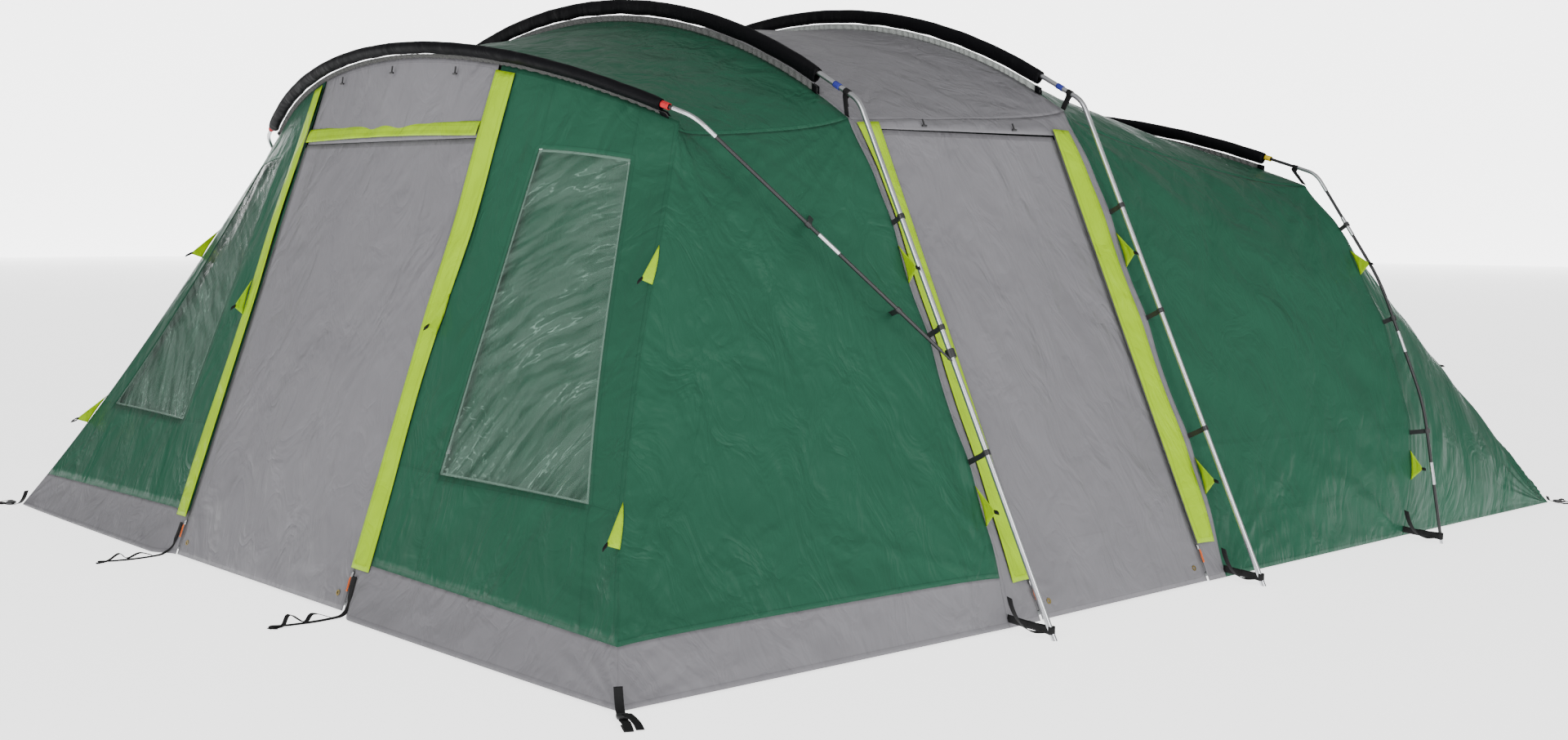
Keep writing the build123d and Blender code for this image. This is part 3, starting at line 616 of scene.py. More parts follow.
@dataclass(frozen=True)
class Polyester:
    """Coated tent cloth: fine threads, soft creases, a little sheen and stitched hems."""

    name: str
    colour: tuple
    roughness: float = 0.40
    crease: float = 0.9
    hem_width: float = 0.020
    stitch_inset: float = 0.017
    seam_width: float = 0.010

    def material(self) -> bpy.types.Material:
        """Builds the cloth's material.

        Returns:
            The material.
        """
        g = Graph(self.name)
        threads = g.plus(g.noise(700, 2, (1, 0.03, 1), uv=True), g.noise(700, 2, (0.03, 1, 1), uv=True))
        folds = g.noise(4.0, 3, (1, 1, 0.45), distortion=0.7)
        crinkle = g.apart(g.noise(7.5, 3, (1, 1, 0.5), distortion=1.1), 0.5)
        edge, seam = g.attribute("edge"), g.attribute("seam")
        hem = g.largest(g.below(edge, self.hem_width), g.below(seam, self.seam_width))
        row = g.largest(g.below(g.apart(edge, self.stitch_inset), 0.0011), g.below(seam, 0.0014))
        tone = g.plus(g.times(g.noise(1.3, 3), 0.7), g.times(threads, 0.05))
        body = g.mix(tone, tint(self.colour, 0.84), tint(self.colour, 1.16))
        body = g.mix(g.times(hem, 0.14), body, tint(self.colour, 0.66))
        body = g.mix(g.times(row, 0.30), body, tint(self.colour, 0.40))
        normal = g.bump(folds, self.crease, 0.040)
        normal = g.bump(crinkle, self.crease, 0.017, normal)
        normal = g.bump(hem, 0.35, 0.0014, normal)
        normal = g.bump(threads, 0.12, 0.0004, normal)
        rough = g.ramp(crinkle, 0.0, 0.3, self.roughness - 0.08, self.roughness + 0.08)
        return g.surface(Base_Color=body, Roughness=rough, Normal=normal, Specular_IOR_Level=0.07)


@dataclass(frozen=True)
class Webbing:
    """Narrow woven strap with ribs along it."""

    name: str
    colour: tuple

    def material(self) -> bpy.types.Material:
        """Builds the strap's material.

        Returns:
            The material.
        """
        g = Graph(self.name)
        weave = {"Vector": g.places.outputs["UV"], "Scale": 110.0, "Distortion": 0.4, "Detail": 1.0}
        ribs = g.add("ShaderNodeTexWave", weave, bands_direction="Y").outputs["Fac"]
        wear = g.noise(40, 4)
        body = g.mix(g.times(g.plus(ribs, wear), 0.5), tint(self.colour, 0.6), tint(self.colour, 1.7))
        normal = g.bump(ribs, 0.35, 0.0006, g.bump(wear, 0.2, 0.001))
        return g.surface(Base_Color=body, Roughness=0.72, Normal=normal, Specular_IOR_Level=0.2)


@dataclass(frozen=True)
class MeshStrip:
    """Fine netting strip: a grid of holes read as dark dots, with painted shade in its folds."""

    name: str
    thread: tuple
    hole: tuple

    def material(self) -> bpy.types.Material:
        """Builds the netting's material.

        Returns:
            The material.
        """
        g = Graph(self.name)
        net = {"Vector": g.places.outputs["UV"], "Scale": 260.0, "Randomness": 0.15}
        holes = g.add("ShaderNodeTexVoronoi", net).outputs["Distance"]
        folds = g.noise(60, 3, (1, 0.08, 1), uv=True)
        body = g.mix(g.ramp(holes, 0.25, 0.55), tint(self.hole, 1), tint(self.thread, 1))
        # Painted shade: the netting is darker where its fold noise is high.
        body = g.mix(g.times(folds, 0.5), body, tint(self.hole, 0.8))
        return g.surface(Base_Color=body, Roughness=0.8, Normal=g.bump(folds, 0.5, 0.006))


@dataclass(frozen=True)
class ClearFilm:
    """Clear flexible film with streaks of creases, painted highlights on its ridges and in a crumpled corner,
    and a stitched border.
    """

    name: str
    colour: tuple
    border_width: float = 0.009

    @staticmethod
    def streaks(g: Graph, low: Socket, scale: float, slim: float) -> Socket:
        """Noise drawn out into streaks, slanted over the film and steeper near its foot.

        Args:
            g: The material under construction.
            low: Share of the steep streaks.
            scale: Scale of the noise.
            slim: How narrow the streaks are.

        Returns:
            The streaks, from 0 to 1.
        """
        slant = g.noise(scale, 3, (0.42, slim, 1), True, 0.35, -0.62)
        steep = g.noise(scale, 3, (0.38, slim, 1), True, 0.35, -1.05)
        return g.add("ShaderNodeMix", {0: low, 2: slant, 3: steep}).outputs[0]

    def material(self) -> bpy.types.Material:
        """Builds the film's material.

        Returns:
            The material.
        """
        g = Graph(self.name)
        across, up, _ = g.add("ShaderNodeSeparateXYZ", {0: g.places.outputs["UV"]}).outputs
        low = g.ramp(up, 0.46, 0.26)
        broad, fine = self.streaks(g, low, 6.0, 1.9), self.streaks(g, low, 13.0, 2.7)
        crumple = g.times(g.ramp(up, 0.55, 0.15), g.ramp(across, 0.45, 0.10))
        # Painted highlights: white specks in the crumpled lower corner and bright lines along crease ridges
        # stand in for lamp reflections on the film.
        speck_glints = g.times(g.ramp(g.noise(34, 3, (1, 1.6, 1), True, 1.4), 0.60, 0.68), crumple)
        ridge_glints = g.times(g.ramp(g.apart(fine, 0.5), 0.020, 0.0), g.ramp(broad, 0.48, 0.60))
        glint = g.largest(speck_glints, ridge_glints)
        border = g.below(g.attribute("edge"), self.border_width)
        haze = g.plus(g.times(g.ramp(fine, 0.60, 0.40), 0.15), g.times(g.ramp(broad, 0.40, 0.64), 0.12))
        # The painted highlights also make the film less clear where they lie.
        haze = g.plus(g.plus(haze, 0.09), g.times(glint, 0.16))
        alpha = g.largest(haze, g.times(border, 0.40))
        # Lighter colour from the painted highlights, and from the real stitched border.
        pale = g.largest(g.times(glint, 0.8), g.times(border, 0.30))
        body = g.mix(pale, tint(self.colour, 1), tint(self.colour, 2.6))
        normal = g.bump(fine, 0.8, 0.010, g.bump(broad, 0.6, 0.030))
        return g.surface(Base_Color=body, Roughness=0.08, Normal=normal, Alpha=alpha, Specular_IOR_Level=0.6)


@dataclass(frozen=True)
class Metal:
    """Drawn or rolled metal with fine scratches along its run and dull patches."""

    name: str
    colour: tuple
    roughness: float

    def material(self) -> bpy.types.Material:
        """Builds the metal's material.

        Returns:
            The material.
        """
        g = Graph(self.name)
        lines, dull = g.noise(220, 3, (1, 1, 0.06)), g.noise(9, 4)
        body = g.mix(dull, tint(self.colour, 0.82), tint(self.colour, 1.08))
        wear = g.plus(dull, g.times(lines, 0.5))
        rough = g.ramp(wear, 0.2, 1.2, self.roughness * 0.75, self.roughness * 1.35)
        return g.surface(Base_Color=body, Metallic=1.0, Roughness=rough, Normal=g.bump(lines, 0.10, 0.0004))


@dataclass(frozen=True)
class Moulded:
    """Moulded plastic or pultruded rod: slight speckle and scuffs."""

    name: str
    colour: tuple
    roughness: float

    def material(self) -> bpy.types.Material:
        """Builds the plastic's material.

        Returns:
            The material.
        """
        g = Graph(self.name)
        speckle, scuff = g.noise(380, 3), g.noise(14, 5)
        body = g.mix(scuff, tint(self.colour, 0.7), tint(self.colour, 1.5))
        rough = g.ramp(scuff, 0.3, 0.7, self.roughness * 0.8, self.roughness * 1.3)
        return g.surface(Base_Color=body, Roughness=rough, Normal=g.bump(speckle, 0.08, 0.0004))


class Finish(Enum):
    """Every finish on the tent."""

    GREEN = Polyester("green_polyester", (0.020, 0.083, 0.049))
    GREY = Polyester("grey_polyester", (0.186, 0.182, 0.195))
    LIME = Polyester("lime_polyester", (0.34, 0.56, 0.004))
    SLEEVE = Polyester("sleeve_cloth", (0.004, 0.004, 0.005), 0.6, 0.6)
    DARK_MESH = MeshStrip("dark_mesh", (0.12, 0.12, 0.115), (0.02, 0.02, 0.02))
    GREY_MESH = MeshStrip("grey_mesh", (0.20, 0.20, 0.20), (0.05, 0.055, 0.05))
    PALE_MESH = MeshStrip("pale_mesh", (0.62, 0.64, 0.62), (0.25, 0.28, 0.26))
    WEBBING = Webbing("woven_webbing", (0.0065, 0.0065, 0.007))
    FILM = ClearFilm("crinkled_film", (0.135, 0.22, 0.175))
    FLOOR = Polyester("coated_floor", (0.13, 0.14, 0.14), 0.6, 0.3)
    STEEL = Metal("plated_steel", (0.66, 0.67, 0.69), 0.30)
    BRASS = Metal("rolled_brass", (0.62, 0.47, 0.16), 0.28)
    NICKEL = Metal("nickel", (0.60, 0.60, 0.60), 0.25)
    ROD = Moulded("fibreglass_rod", (0.012, 0.012, 0.013), 0.32)
    PLASTIC = Moulded("black_plastic", (0.014, 0.014, 0.015), 0.42)
    ZIP = Moulded("zip_tape", (0.09, 0.09, 0.095), 0.6)
    ORANGE = Webbing("orange_cord", (0.62, 0.11, 0.015))
    RED_TAPE = Webbing("red_tape", (0.42, 0.015, 0.02))
    BLUE_TAPE = Webbing("blue_tape", (0.025, 0.03, 0.22))
    YELLOW_TAPE = Webbing("yellow_tape", (0.70, 0.45, 0.01))

    def material(self) -> bpy.types.Material:
        """This finish's material, made once."""
        return bpy.data.materials.get(self.value.name) or self.value.material()


@dataclass
class Piece:
    """A mesh being made of grids of points, then dressed, and set on its body."""

    name: str
    finish: Finish
    slot: str
    body: str = "tent"
    grids: list = field(default_factory=list)

    def add(self, points: Array, keep: Array | None = None, edge: Array | None = None,
            inside: Array | None = None, seam: Array | None = None) -> None:
        """Adds a grid of points.

        Args:
            points: Rows and columns of points.
            keep: Which cells are cloth; all are, unless it is given.
            edge: Distance of each point to the cloth's edge; the grid's edges count, unless it is given.
            inside: A point behind the cloth, from which its outer face looks away.
            seam: Distance of each point to a sewn seam inside the cloth, if it has one.
        """
        edge = edge_distance(points) if edge is None else edge
        seam = np.ones(points.shape[:2]) if seam is None else seam
        self.grids.append((points, keep, inside, {"edge": edge, "seam": seam}))

    def both(self, points: Array, edge: Array | None = None) -> None:
        """Adds a grid of the right-hand side and its mirror image."""
        for side in Side:
            self.add(side.place(points), edge=edge)

    def flat(self) -> tuple[tuple[float, float], float]:
        """Cut size and flat area of the cloth: its widest row, its columns added up, and its cells' area.

        A panel that is mostly opening is cut as strips, laid side by side.

        Returns:
            Width and height of the cut cloth, and its area.
        """
        width = max(float(run_lengths(p, 1)[:, -1].max()) for p, *_ in self.grids)
        height = sum(float(run_lengths(p, 0)[-1].max()) for p, *_ in self.grids)
        area = 0.0
        for points, keep, *_ in self.grids:
            first = points[1:, 1:] - points[:-1, :-1]
            second = points[1:, :-1] - points[:-1, 1:]
            cells = np.linalg.norm(np.cross(first, second), axis=-1) / 2
            area += float(cells.sum() if keep is None else cells[keep].sum())
        if area < 0.35 * width * height:
            width = area / (0.8 * height)
        return (width, max(height, area / width)), area

    def mesh(self) -> bpy.types.Mesh:
        """The grids as one mesh, with lengths as its UV map and the distance to an edge as an attribute.

        Returns:
            The mesh.
        """
        vertices, faces, lengths, base = [], [], [], 0
        marks = {"edge": [], "seam": []}
        for points, keep, inside, distances in self.grids:
            rows, columns = points.shape[:2]
            cells = quads(rows, columns)
            cells = cells.reshape(-1, 4) if keep is None else cells[keep]
            if inside is not None and np.sum((points - inside) * grid_normals(points)) < 0:
                cells = cells[:, ::-1]
            used, cells = np.unique(cells, return_inverse=True)
            vertices.append(points.reshape(-1, 3)[used])
            faces.append(cells.reshape(-1, 4) + base)
            uv = np.stack([run_lengths(points, 1), run_lengths(points, 0)], -1)
            lengths.append(uv.reshape(-1, 2)[used])
            for name, distance in distances.items():
                marks[name].append(distance.reshape(-1)[used])
            base += len(used)
        mesh = bpy.data.meshes.new(self.name)
        mesh.from_pydata(np.concatenate(vertices), [], np.concatenate(faces).tolist())
        corner = np.zeros(len(mesh.loops), np.int32)
        mesh.loops.foreach_get("vertex_index", corner)
        layer = mesh.uv_layers.new(name="lengths")
        layer.data.foreach_set("uv", np.concatenate(lengths)[corner].astype(np.float32).ravel())
        for name, values in marks.items():
            attribute = mesh.attributes.new(name, "FLOAT", "POINT")
            attribute.data.foreach_set("value", np.concatenate(values).astype(np.float32))
        mesh.polygons.foreach_set("use_smooth", np.ones(len(mesh.polygons), bool))
        mesh.materials.append(self.finish.material())
        mesh.update()
        return mesh

    def make(self, *nodes: str, thickness: float = 0.0) -> bpy.types.Object:
        """Makes the object, gives it thickness, sets it on its body and lets it stand for CAD nodes.

        Args:
            nodes: CAD nodes that it stands for.
            thickness: Thickness of its wall; a closed piece has none.

        Returns:
            The object.
        """
        made = bpy.data.objects.new(self.name, self.mesh())
        bpy.context.scene.collection.objects.link(made)
        if thickness:
            wall = made.modifiers.new("wall", "SOLIDIFY")
            wall.thickness = thickness
            wall.offset = -1
        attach(made, self.body)
        if nodes:
            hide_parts(*nodes)
        LOG.info("%s: %d grids on %s", self.name, len(self.grids), self.body)
        return made

    def cloth(self, *nodes: str, held: str = "stretched", rests_on: Sequence[str] = ()) -> None:
        """Makes the object as a sheet of cloth.

        Args:
            nodes: CAD nodes that it stands for.
            held: How the cloth is held; not used.
            rests_on: What holds it; not used.
        """
        made = self.make(*nodes, thickness=CLOTH)


@dataclass
class Flysheet:
    """The stretched cloth of the tent, bay by bay, between its hoops, corners and hems."""

    front_corner: Array = field(default_factory=lambda: site(2.170, 0, HEM))
    front_hem: Array = field(default_factory=lambda: site(WALL_FOOT, FRONT.y, HEM))
    middle_hem: Array = field(default_factory=lambda: site(WALL_FOOT, MIDDLE.y, HEM))
    rear_hem: Array = field(default_factory=lambda: site(2.240, REAR.y, HEM))
    tail_corner: Array = field(default_factory=lambda: site(2.254, 5.265, HEM))
    wall_rows: int = 82
    roof_rows: int = 121
    skirt_rows: int = 9
    panel_points: tuple = (104, 96)
    clip_pull: float = 0.034
    clip_scallop: float = 0.012
    rear_pull: float = 0.140
    corner_draw: float = 0.466

    def __post_init__(self) -> None:
        """Works out the seams and stretches the bays between them."""
        self.skirt_share = SKIRT / WALL_RISE
        self.skirt_row = self.skirt_rows - 1
        above = np.linspace(self.skirt_share, 1, self.wall_rows - self.skirt_rows + 1)[1:]
        self.up = np.concatenate([np.linspace(0, self.skirt_share, self.skirt_rows), above])
        self.porch_end = PORCH.cloth_at(PORCH.shoulder)
        self.corner_seam = self.line(self.front_corner, self.porch_end)
        self.corner_seam[:, 0] -= self.corner_draw * self.up * (1 - self.up) ** 1.6
        self.front_seam = self.pulled(self.front_hem, FRONT, (0.30, 0.545, 0.77))
        self.middle_seam = self.pulled(self.middle_hem, MIDDLE, (0.28, 0.53, 0.76))
        self.rear_seam = self.pulled(self.rear_hem, REAR, (0.28, 0.56, 0.83))
        self.rear_seam += self.outward() * (self.rear_pull * np.sin(np.pi * self.up**0.85))[:, None]
        tail_point = np.repeat(self.tail_corner[None], self.wall_rows, 0)
        tail_hem = np.linspace(self.tail_corner, self.tail_corner * [-1, 1, 1], self.roof_rows)
        porch_arc = PORCH.arc(PORCH.drop, PORCH.shoulder, self.roof_rows)
        arcs = [h.arc(h.drop, h.shoulder, self.roof_rows) for h in (FRONT, MIDDLE, REAR)]
        self.porch = self.bay(self.corner_seam, porch_arc, self.front_seam, arcs[0], 46, 260)
        self.middle = self.bay(self.front_seam, arcs[0], self.middle_seam, arcs[1], 46, 320, door=True)
        self.rear = self.bay(self.middle_seam, arcs[1], self.rear_seam, arcs[2], 48, 320)
        self.tail = self.bay(self.rear_seam, arcs[2], tail_point, tail_hem, 52, 160)

    def line(self, low: Array, high: Array) -> Array:
        """Points up a straight seam."""
        return low + (high - low) * self.up[:, None]

    def outward(self) -> Array:
        """Direction square to the side walls, away from the tent."""
        return unit(np.array([1.0, 0.0, SIDE_LEAN]))

    def pulled(self, hem: Array, hoop: Hoop, clips: Sequence[float]) -> Array:
        """A wall seam drawn out towards its pole: a flat bulge, deeper at the clips.

        Args:
            hem: Foot of the seam.
            hoop: The hoop at its head.
            clips: Shares up the seam at which it has clips.

        Returns:
            Points up the seam.
        """
        bulge = self.clip_pull * smooth(0, 0.16, self.up) * smooth(1, 0.86, self.up)
        for clip in clips:
            bulge = bulge + self.clip_scallop * np.exp(-(((self.up - clip) / 0.06) ** 2))
        return self.line(hem, hoop.cloth_at(hoop.shoulder)) + self.outward() * bulge[:, None]

    def bay(self, near_wall: Array, near_arc: Array, far_wall: Array, far_arc: Array, columns: int,
            rounds: int, door: bool = False) -> Array:
        """Cloth of a bay: the ruled surface between two outlines round the tent, relaxed as a membrane.

        Args:
            near_wall: Right-hand wall seam nearer to the front, from the hem up.
            near_arc: Roof seam nearer to the front, from right to left.
            far_wall: The wall seam at the other end of the bay.
            far_arc: The roof seam there.
            columns: Points along the bay.
            rounds: How far the cloth relaxes.
            door: Whether the walls hold a flat door, which stays in its plane.

        Returns:
            A grid whose rows run from the right hem over the roof to the left hem.
        """
        ends = []
        for wall, arc in ((near_wall, near_arc), (far_wall, far_arc)):
            ends.append(np.concatenate([wall, arc[1:-1], Side.LEFT.place(wall)[::-1]]))
        t = np.linspace(0, 1, columns)[None, :, None]
        grid = ends[0][:, None] * (1 - t) + ends[1][:, None] * t
        held = np.zeros(grid.shape[:2], bool)
        if door:
            y, z = grid[..., 1] + Y_CENTRE, grid[..., 2]
            held = (y > SIDE_TOP[0] - 0.03) & (y < SIDE_FOOT[1] + 0.03) & (z < SIDE_HINGE + 0.035)
            flat = WALL_FOOT - SIDE_LEAN * (z - HEM)
            grid[..., 0] = np.where(held, np.sign(grid[..., 0]) * flat, grid[..., 0])
        return membrane(grid, rounds, held)

    def wall(self, bay: Array, side: Side) -> Array:
        """Wall part of a bay, rows from the hem up."""
        return bay[: self.wall_rows] if side is Side.RIGHT else bay[::-1][: self.wall_rows]

    def roof(self, bay: Array) -> Array:
        """Roof part of a bay, rows from the right shoulder to the left one."""
        first = self.wall_rows - 1
        return bay[first:first + self.roof_rows]

    def creased(self, points: Array, seed: int, depth: float, lean: float = 0.0,
                pulls: Sequence[Array] = (), calm: Array | float = 1.0) -> Array:
        """Cloth with soft wrinkles and folds that fan out from what pulls it, times a calming share.

        Args:
            points: Grid of the cloth's points.
            seed: Chooses the wrinkles, the same on each run.
            depth: Height of the wrinkles.
            lean: Direction of the wrinkles, in radians from upright.
            pulls: Places that pull the cloth.
            calm: Share of the heights that stays.

        Returns:
            The wrinkled grid.
        """
        heights = creases(points, seed, depth, lean)
        for number, pull in enumerate(pulls):
            heights = heights + fan(points, pull, seed * 7 + number, depth * 1.3)
        return lifted(points, heights * calm, inside_of(points))

    def add_panel(self, name: str, finish: Finish, points: Array, seed: int, depth: float,
                  rests_on: Sequence[str], seams: Sequence[float] = (), lean: float = 0.0) -> None:
        """Makes a plain panel of cloth that stands for the CAD node of its name.

        Args:
            name: The CAD node.
            finish: The cloth.
            points: Grid of the panel.
            seed: Chooses its wrinkles.
            depth: Height of the wrinkles.
            rests_on: What holds the panel.
            seams: Heights of level seams sewn across it.
            lean: Direction of its wrinkles, in radians from upright.
        """
        slot = "green_cloth" if finish is Finish.GREEN else "grey_cloth"
        piece = Piece(name + "_cloth", finish, slot)
        wall = len(points) < self.roof_rows
        points = Surface(points).even(*self.panel_points) if wall else points
        edge = run_lengths(points, 0) if wall else None
        ends = [points[0, 0], points[0, -1], points[-1, 0], points[-1, -1]]
        seam = np.ones(points.shape[:2])
        for height in seams:
            seam = np.minimum(seam, np.abs(points[..., 2] - height))
        piece.add(self.creased(points, seed, depth, lean, ends), None, edge, inside_of(points), seam)
        piece.cloth(name, rests_on=rests_on)

    def build(self) -> None:
        """Makes the roofs, walls and tail."""
        for name, finish, bay, seed, depth, hoop in (
            ("porch_roof", Finish.GREEN, self.porch, 11, 0.007, "porch"),
            ("middle_roof", Finish.GREY, self.middle, 12, 0.007, "front"),
            ("rear_roof", Finish.GREEN, self.rear, 13, 0.007, "middle"),
            ("tail_panel", Finish.GREEN, self.tail, 14, 0.006, "rear"),
        ):
            self.add_panel(name, finish, self.roof(bay), seed, depth, [f"{hoop}_hoop_sleeve_web"])
        for side in Side:
            for name, bay, first, seed, depth, seams, lean in (
                ("porch_wall", self.porch, self.skirt_row, 30, 0.010, (), 0.35),
                ("rear_wall", self.rear, 0, 35, 0.010, (0.21, 0.47), 0.5),
                ("tail_side", self.tail, 0, 40, 0.006, (0.19,), 0.0),
            ):
                self.add_panel(f"{name}_{side.word}", Finish.GREEN, self.wall(bay, side)[first:],
                               seed + side.value, depth, ["pole_clips"], seams, lean)


def door_edge(z: Array | float) -> Array | float:
    """Half width of the front door at a height."""
    return DOOR_FOOT + (DOOR_TOP - DOOR_FOOT) * z / FRONT_HINGE


def front_face(x: Array, z: Array) -> Array:
    """Points of the front door's plane, which leans back."""
    x, z = np.broadcast_arrays(np.asarray(x, float), np.asarray(z, float))
    return np.stack([x, FRONT_LEAN * z + FRONT_SET - Y_CENTRE, z], -1)


def side_edge(index: int, z: Array | float) -> Array | float:
    """Distance along the tent of a side door's front or rear edge at a height."""
    return SIDE_FOOT[index] + (SIDE_TOP[index] - SIDE_FOOT[index]) * z / SIDE_HINGE


def side_face(y: Array | float, z: Array | float) -> Array:
    """Points of the right-hand side door's plane, which leans in."""
    y, z = np.broadcast_arrays(np.asarray(y, float), np.asarray(z, float))
    return np.stack([WALL_FOOT - SIDE_LEAN * (z - HEM), y - Y_CENTRE, z], -1)


@dataclass
class Front:
    """The front of the porch: header, window panels, windows, skirt and the canopy door."""

    fly: Flysheet
    columns: int = 64
    window: tuple = ((0.25, 0.267), (0.87, 0.287), (0.80, 0.895), (0.335, 0.864))
    cells_up: tuple = (10, 52, 12)
    cells_across: tuple = (14, 44, 12)
    film_lap: float = 0.06
    film_set: float = 0.0024
    blind_set: float = 0.030
    skirt_points: tuple = (15, 150)
    skirt_flare: float = 0.050
    door_points: tuple = (72, 62)
    door_slack: float = 0.010

    def __post_init__(self) -> None:
        """Stretches the right-hand front panel between the zip, the corner seam and the porch hoop."""
        fly = self.fly
        foot = front_face(door_edge(HEM) + ZIP_GAP, HEM)
        inner_x = door_edge(HEADER_TOP) + ZIP_GAP
        top = PORCH.cloth_at(inner_x)
        radius = PORCH.radius - PORCH.drop
        turn = np.linspace(np.arcsin(inner_x / radius), np.arcsin(PORCH.shoulder / radius), self.columns)
        top_edge = PORCH.place(radius * np.sin(turn), PORCH.crown - PORCH.radius + radius * np.cos(turn))
        bottom = np.linspace(foot, fly.front_corner, self.columns)
        seam = points_at(fly.corner_seam, fly.up, np.linspace(0, 1, fly.wall_rows))
        outline = coons(bottom, top_edge, np.linspace(foot, top, fly.wall_rows), seam)
        self.panel = Surface(membrane(outline, 200))

    def places(self) -> Array:
        """Shares across and up the panel at the corners of its blocks round the window.

        Returns:
            Rows of pairs, from the skirt up.
        """
        (bi, bo, to, ti) = self.window
        low = self.fly.skirt_share
        return np.array([
            [(0, low), (bi[0], low), (bo[0], low), (1, low)],
            [(0, bi[1]), bi, bo, (1, bo[1])],
            [(0, ti[1]), ti, to, (1, to[1])],
            [(0, 1), (ti[0], 1), (to[0], 1), (1, 1)],
        ], float)

    def build(self) -> None:
        """Makes the pieces of the front."""
        self.panels()
        self.windows()
        self.skirts()
        self.header()
        self.door()

    def panels(self) -> None:
        """Makes the two panels, each with an opening for its window and calmer cloth round it."""
        spots = block_map(self.places(), self.cells_up, self.cells_across)
        points = self.panel.at(spots[..., 0], spots[..., 1])
        low, high, first, last = self.opening()
        keep = np.ones((sum(self.cells_up), sum(self.cells_across)), bool)
        keep[low:high, first:last] = False
        hole = self.hole_distance(points)
        calm = smooth(0, 0.09, hole) * smooth(-0.05, 0.45, run_lengths(points, 0))
        edge = np.minimum(edge_distance(points), hole)
        for side in Side:
            panel = Piece(f"front_panel_{side.word}_cloth", Finish.GREEN, "green_cloth")
            wrinkled = self.fly.creased(points, 50 + side.value, 0.008, 0.1, [self.fly.front_corner], calm)
            panel.add(side.place(wrinkled), keep, edge, inside_of(points), self.seams(points))
            panel.cloth(f"front_panel_{side.word}", rests_on=["porch_hoop_sleeve_web"])

    def film(self) -> Array:
        """Points of the right-hand window's film, which laps under the edges of its opening.

        Returns:
            A grid of points.
        """
        corners = np.array(self.window, float)
        centre = corners.mean(0)
        low_in, low_out, high_out, high_in = centre + (corners - centre) * (1 + self.film_lap)
        spots = block_map(np.array([[low_in, low_out], [high_in, high_out]]), (70,), (56,))
        return self.panel.at(spots[..., 0], spots[..., 1])

    def windows(self) -> None:
        """Makes the crumpled film of both windows and the blinds behind it."""
        film = self.film()
        inside = inside_of(film)
        windows = Piece("front_windows_film", Finish.FILM, "clear_film")
        blinds = Piece("window_blinds_cloth", Finish.GREEN, "green_cloth")
        for side in Side:
            crumple = creases(film, 60 + side.value, 0.006, 0.5) + creases(film, 70 + side.value, 0.004, -0.7)
            pane = lifted(film, crumple - self.film_set, inside)
            windows.add(side.place(pane), None, self.pane_edge(film), inside)
            blinds.add(side.place(lifted(film, -self.blind_set, inside)), None, None, inside)
        windows.cloth("front_windows", rests_on=["front_panel_right", "front_panel_left"])
        blinds.cloth(held="hung", rests_on=["front_panel_right", "front_panel_left"])

    def skirts(self) -> None:
        """Makes the skirt under the front panels, which flares at its foot, and under the porch walls."""
        fly, (rows, columns) = self.fly, self.skirt_points
        up, across = np.linspace(0, fly.skirt_share, rows), np.linspace(0, 1, columns)
        front = self.panel.at(*np.meshgrid(across, up))
        flare = self.skirt_flare * (1 - up / fly.skirt_share)[:, None] ** 1.3 * (1 - across)[None] ** 0.7
        front[..., 1] -= flare * smooth(0, 0.08, across)[None]
        skirt = Piece("porch_skirts_cloth", Finish.GREY, "grey_cloth")
        for side in Side:
            hung = side.place(self.hemmed(front, 80 + side.value))
            skirt.add(hung, None, run_lengths(front, 0), inside_of(front))
            wall = Surface(fly.wall(fly.porch, side)[: fly.skirt_row + 1]).even(rows, columns)
            wall = side.place(self.hemmed(side.place(wall), 84 + side.value))
            skirt.add(wall, None, run_lengths(wall, 0), inside_of(wall))
        skirt.cloth("porch_skirts", held="hung", rests_on=["porch_wall_right", "porch_wall_left"])

    def opening(self) -> tuple[int, int, int, int]:
        """First and last rows and columns of the panel's points round the window."""
        low, first = self.cells_up[0], self.cells_across[0]
        return low, low + self.cells_up[1], first, first + self.cells_across[1]

    def seams(self, points: Array) -> Array:
        """Distance to the sewn lines that carry on from the window's edges.

        Args:
            points: Grid of the panel's points.

        Returns:
            Distances, one for each point.
        """
        u, v = run_lengths(points, 1), run_lengths(points, 0)
        low, _, first, last = self.opening()
        upright = np.minimum(np.abs(u - u[:, first:first + 1]), np.abs(u - u[:, last:last + 1]))
        return np.minimum(upright, np.abs(v - v[low:low + 1])) + 0.0002

    def hole_distance(self, points: Array) -> Array:
        """Distance to the window's edge, measured along rows and columns of the panel.

        Args:
            points: Grid of the panel's points.

        Returns:
            Distances, 0 in the opening.
        """
        u, v = run_lengths(points, 1), run_lengths(points, 0)
        low, high, first, last = self.opening()
        across = np.maximum(u[:, first:first + 1] - u, u - u[:, last:last + 1])
        up = np.maximum(v[low:low + 1] - v, v - v[high:high + 1])
        return np.maximum(np.maximum(across, up), 0)

    def hemmed(self, points: Array, seed: int) -> Array:
        """Cloth of the right-hand skirt with wrinkles, folds from its corner and puckers under its seam.

        Args:
            points: Grid of the cloth's points.
            seed: Chooses the wrinkles, the same on each run.

        Returns:
            The wrinkled grid.
        """
        heights = creases(points, seed, 0.006) + gathers(points, seed + 20, 0.0075)
        heights = heights + fan(points, self.fly.front_corner, seed + 40, 0.0110, 0.20, 0.03)
        return lifted(points, heights, inside_of(points))

    def pane_edge(self, film: Array) -> Array:
        """Distance from each point of the film to the edge of the opening in front of it.

        Args:
            film: Grid of the film's points.

        Returns:
            Distances, below 0 under the lap.
        """
        u, v = run_lengths(film, 1), run_lengths(film, 0)
        lap = self.film_lap / (2 + 2 * self.film_lap)
        across = np.minimum(u, u[:, -1:] - u) - lap * u[:, -1:]
        return np.minimum(across, np.minimum(v, v[-1:] - v) - lap * v[-1:])

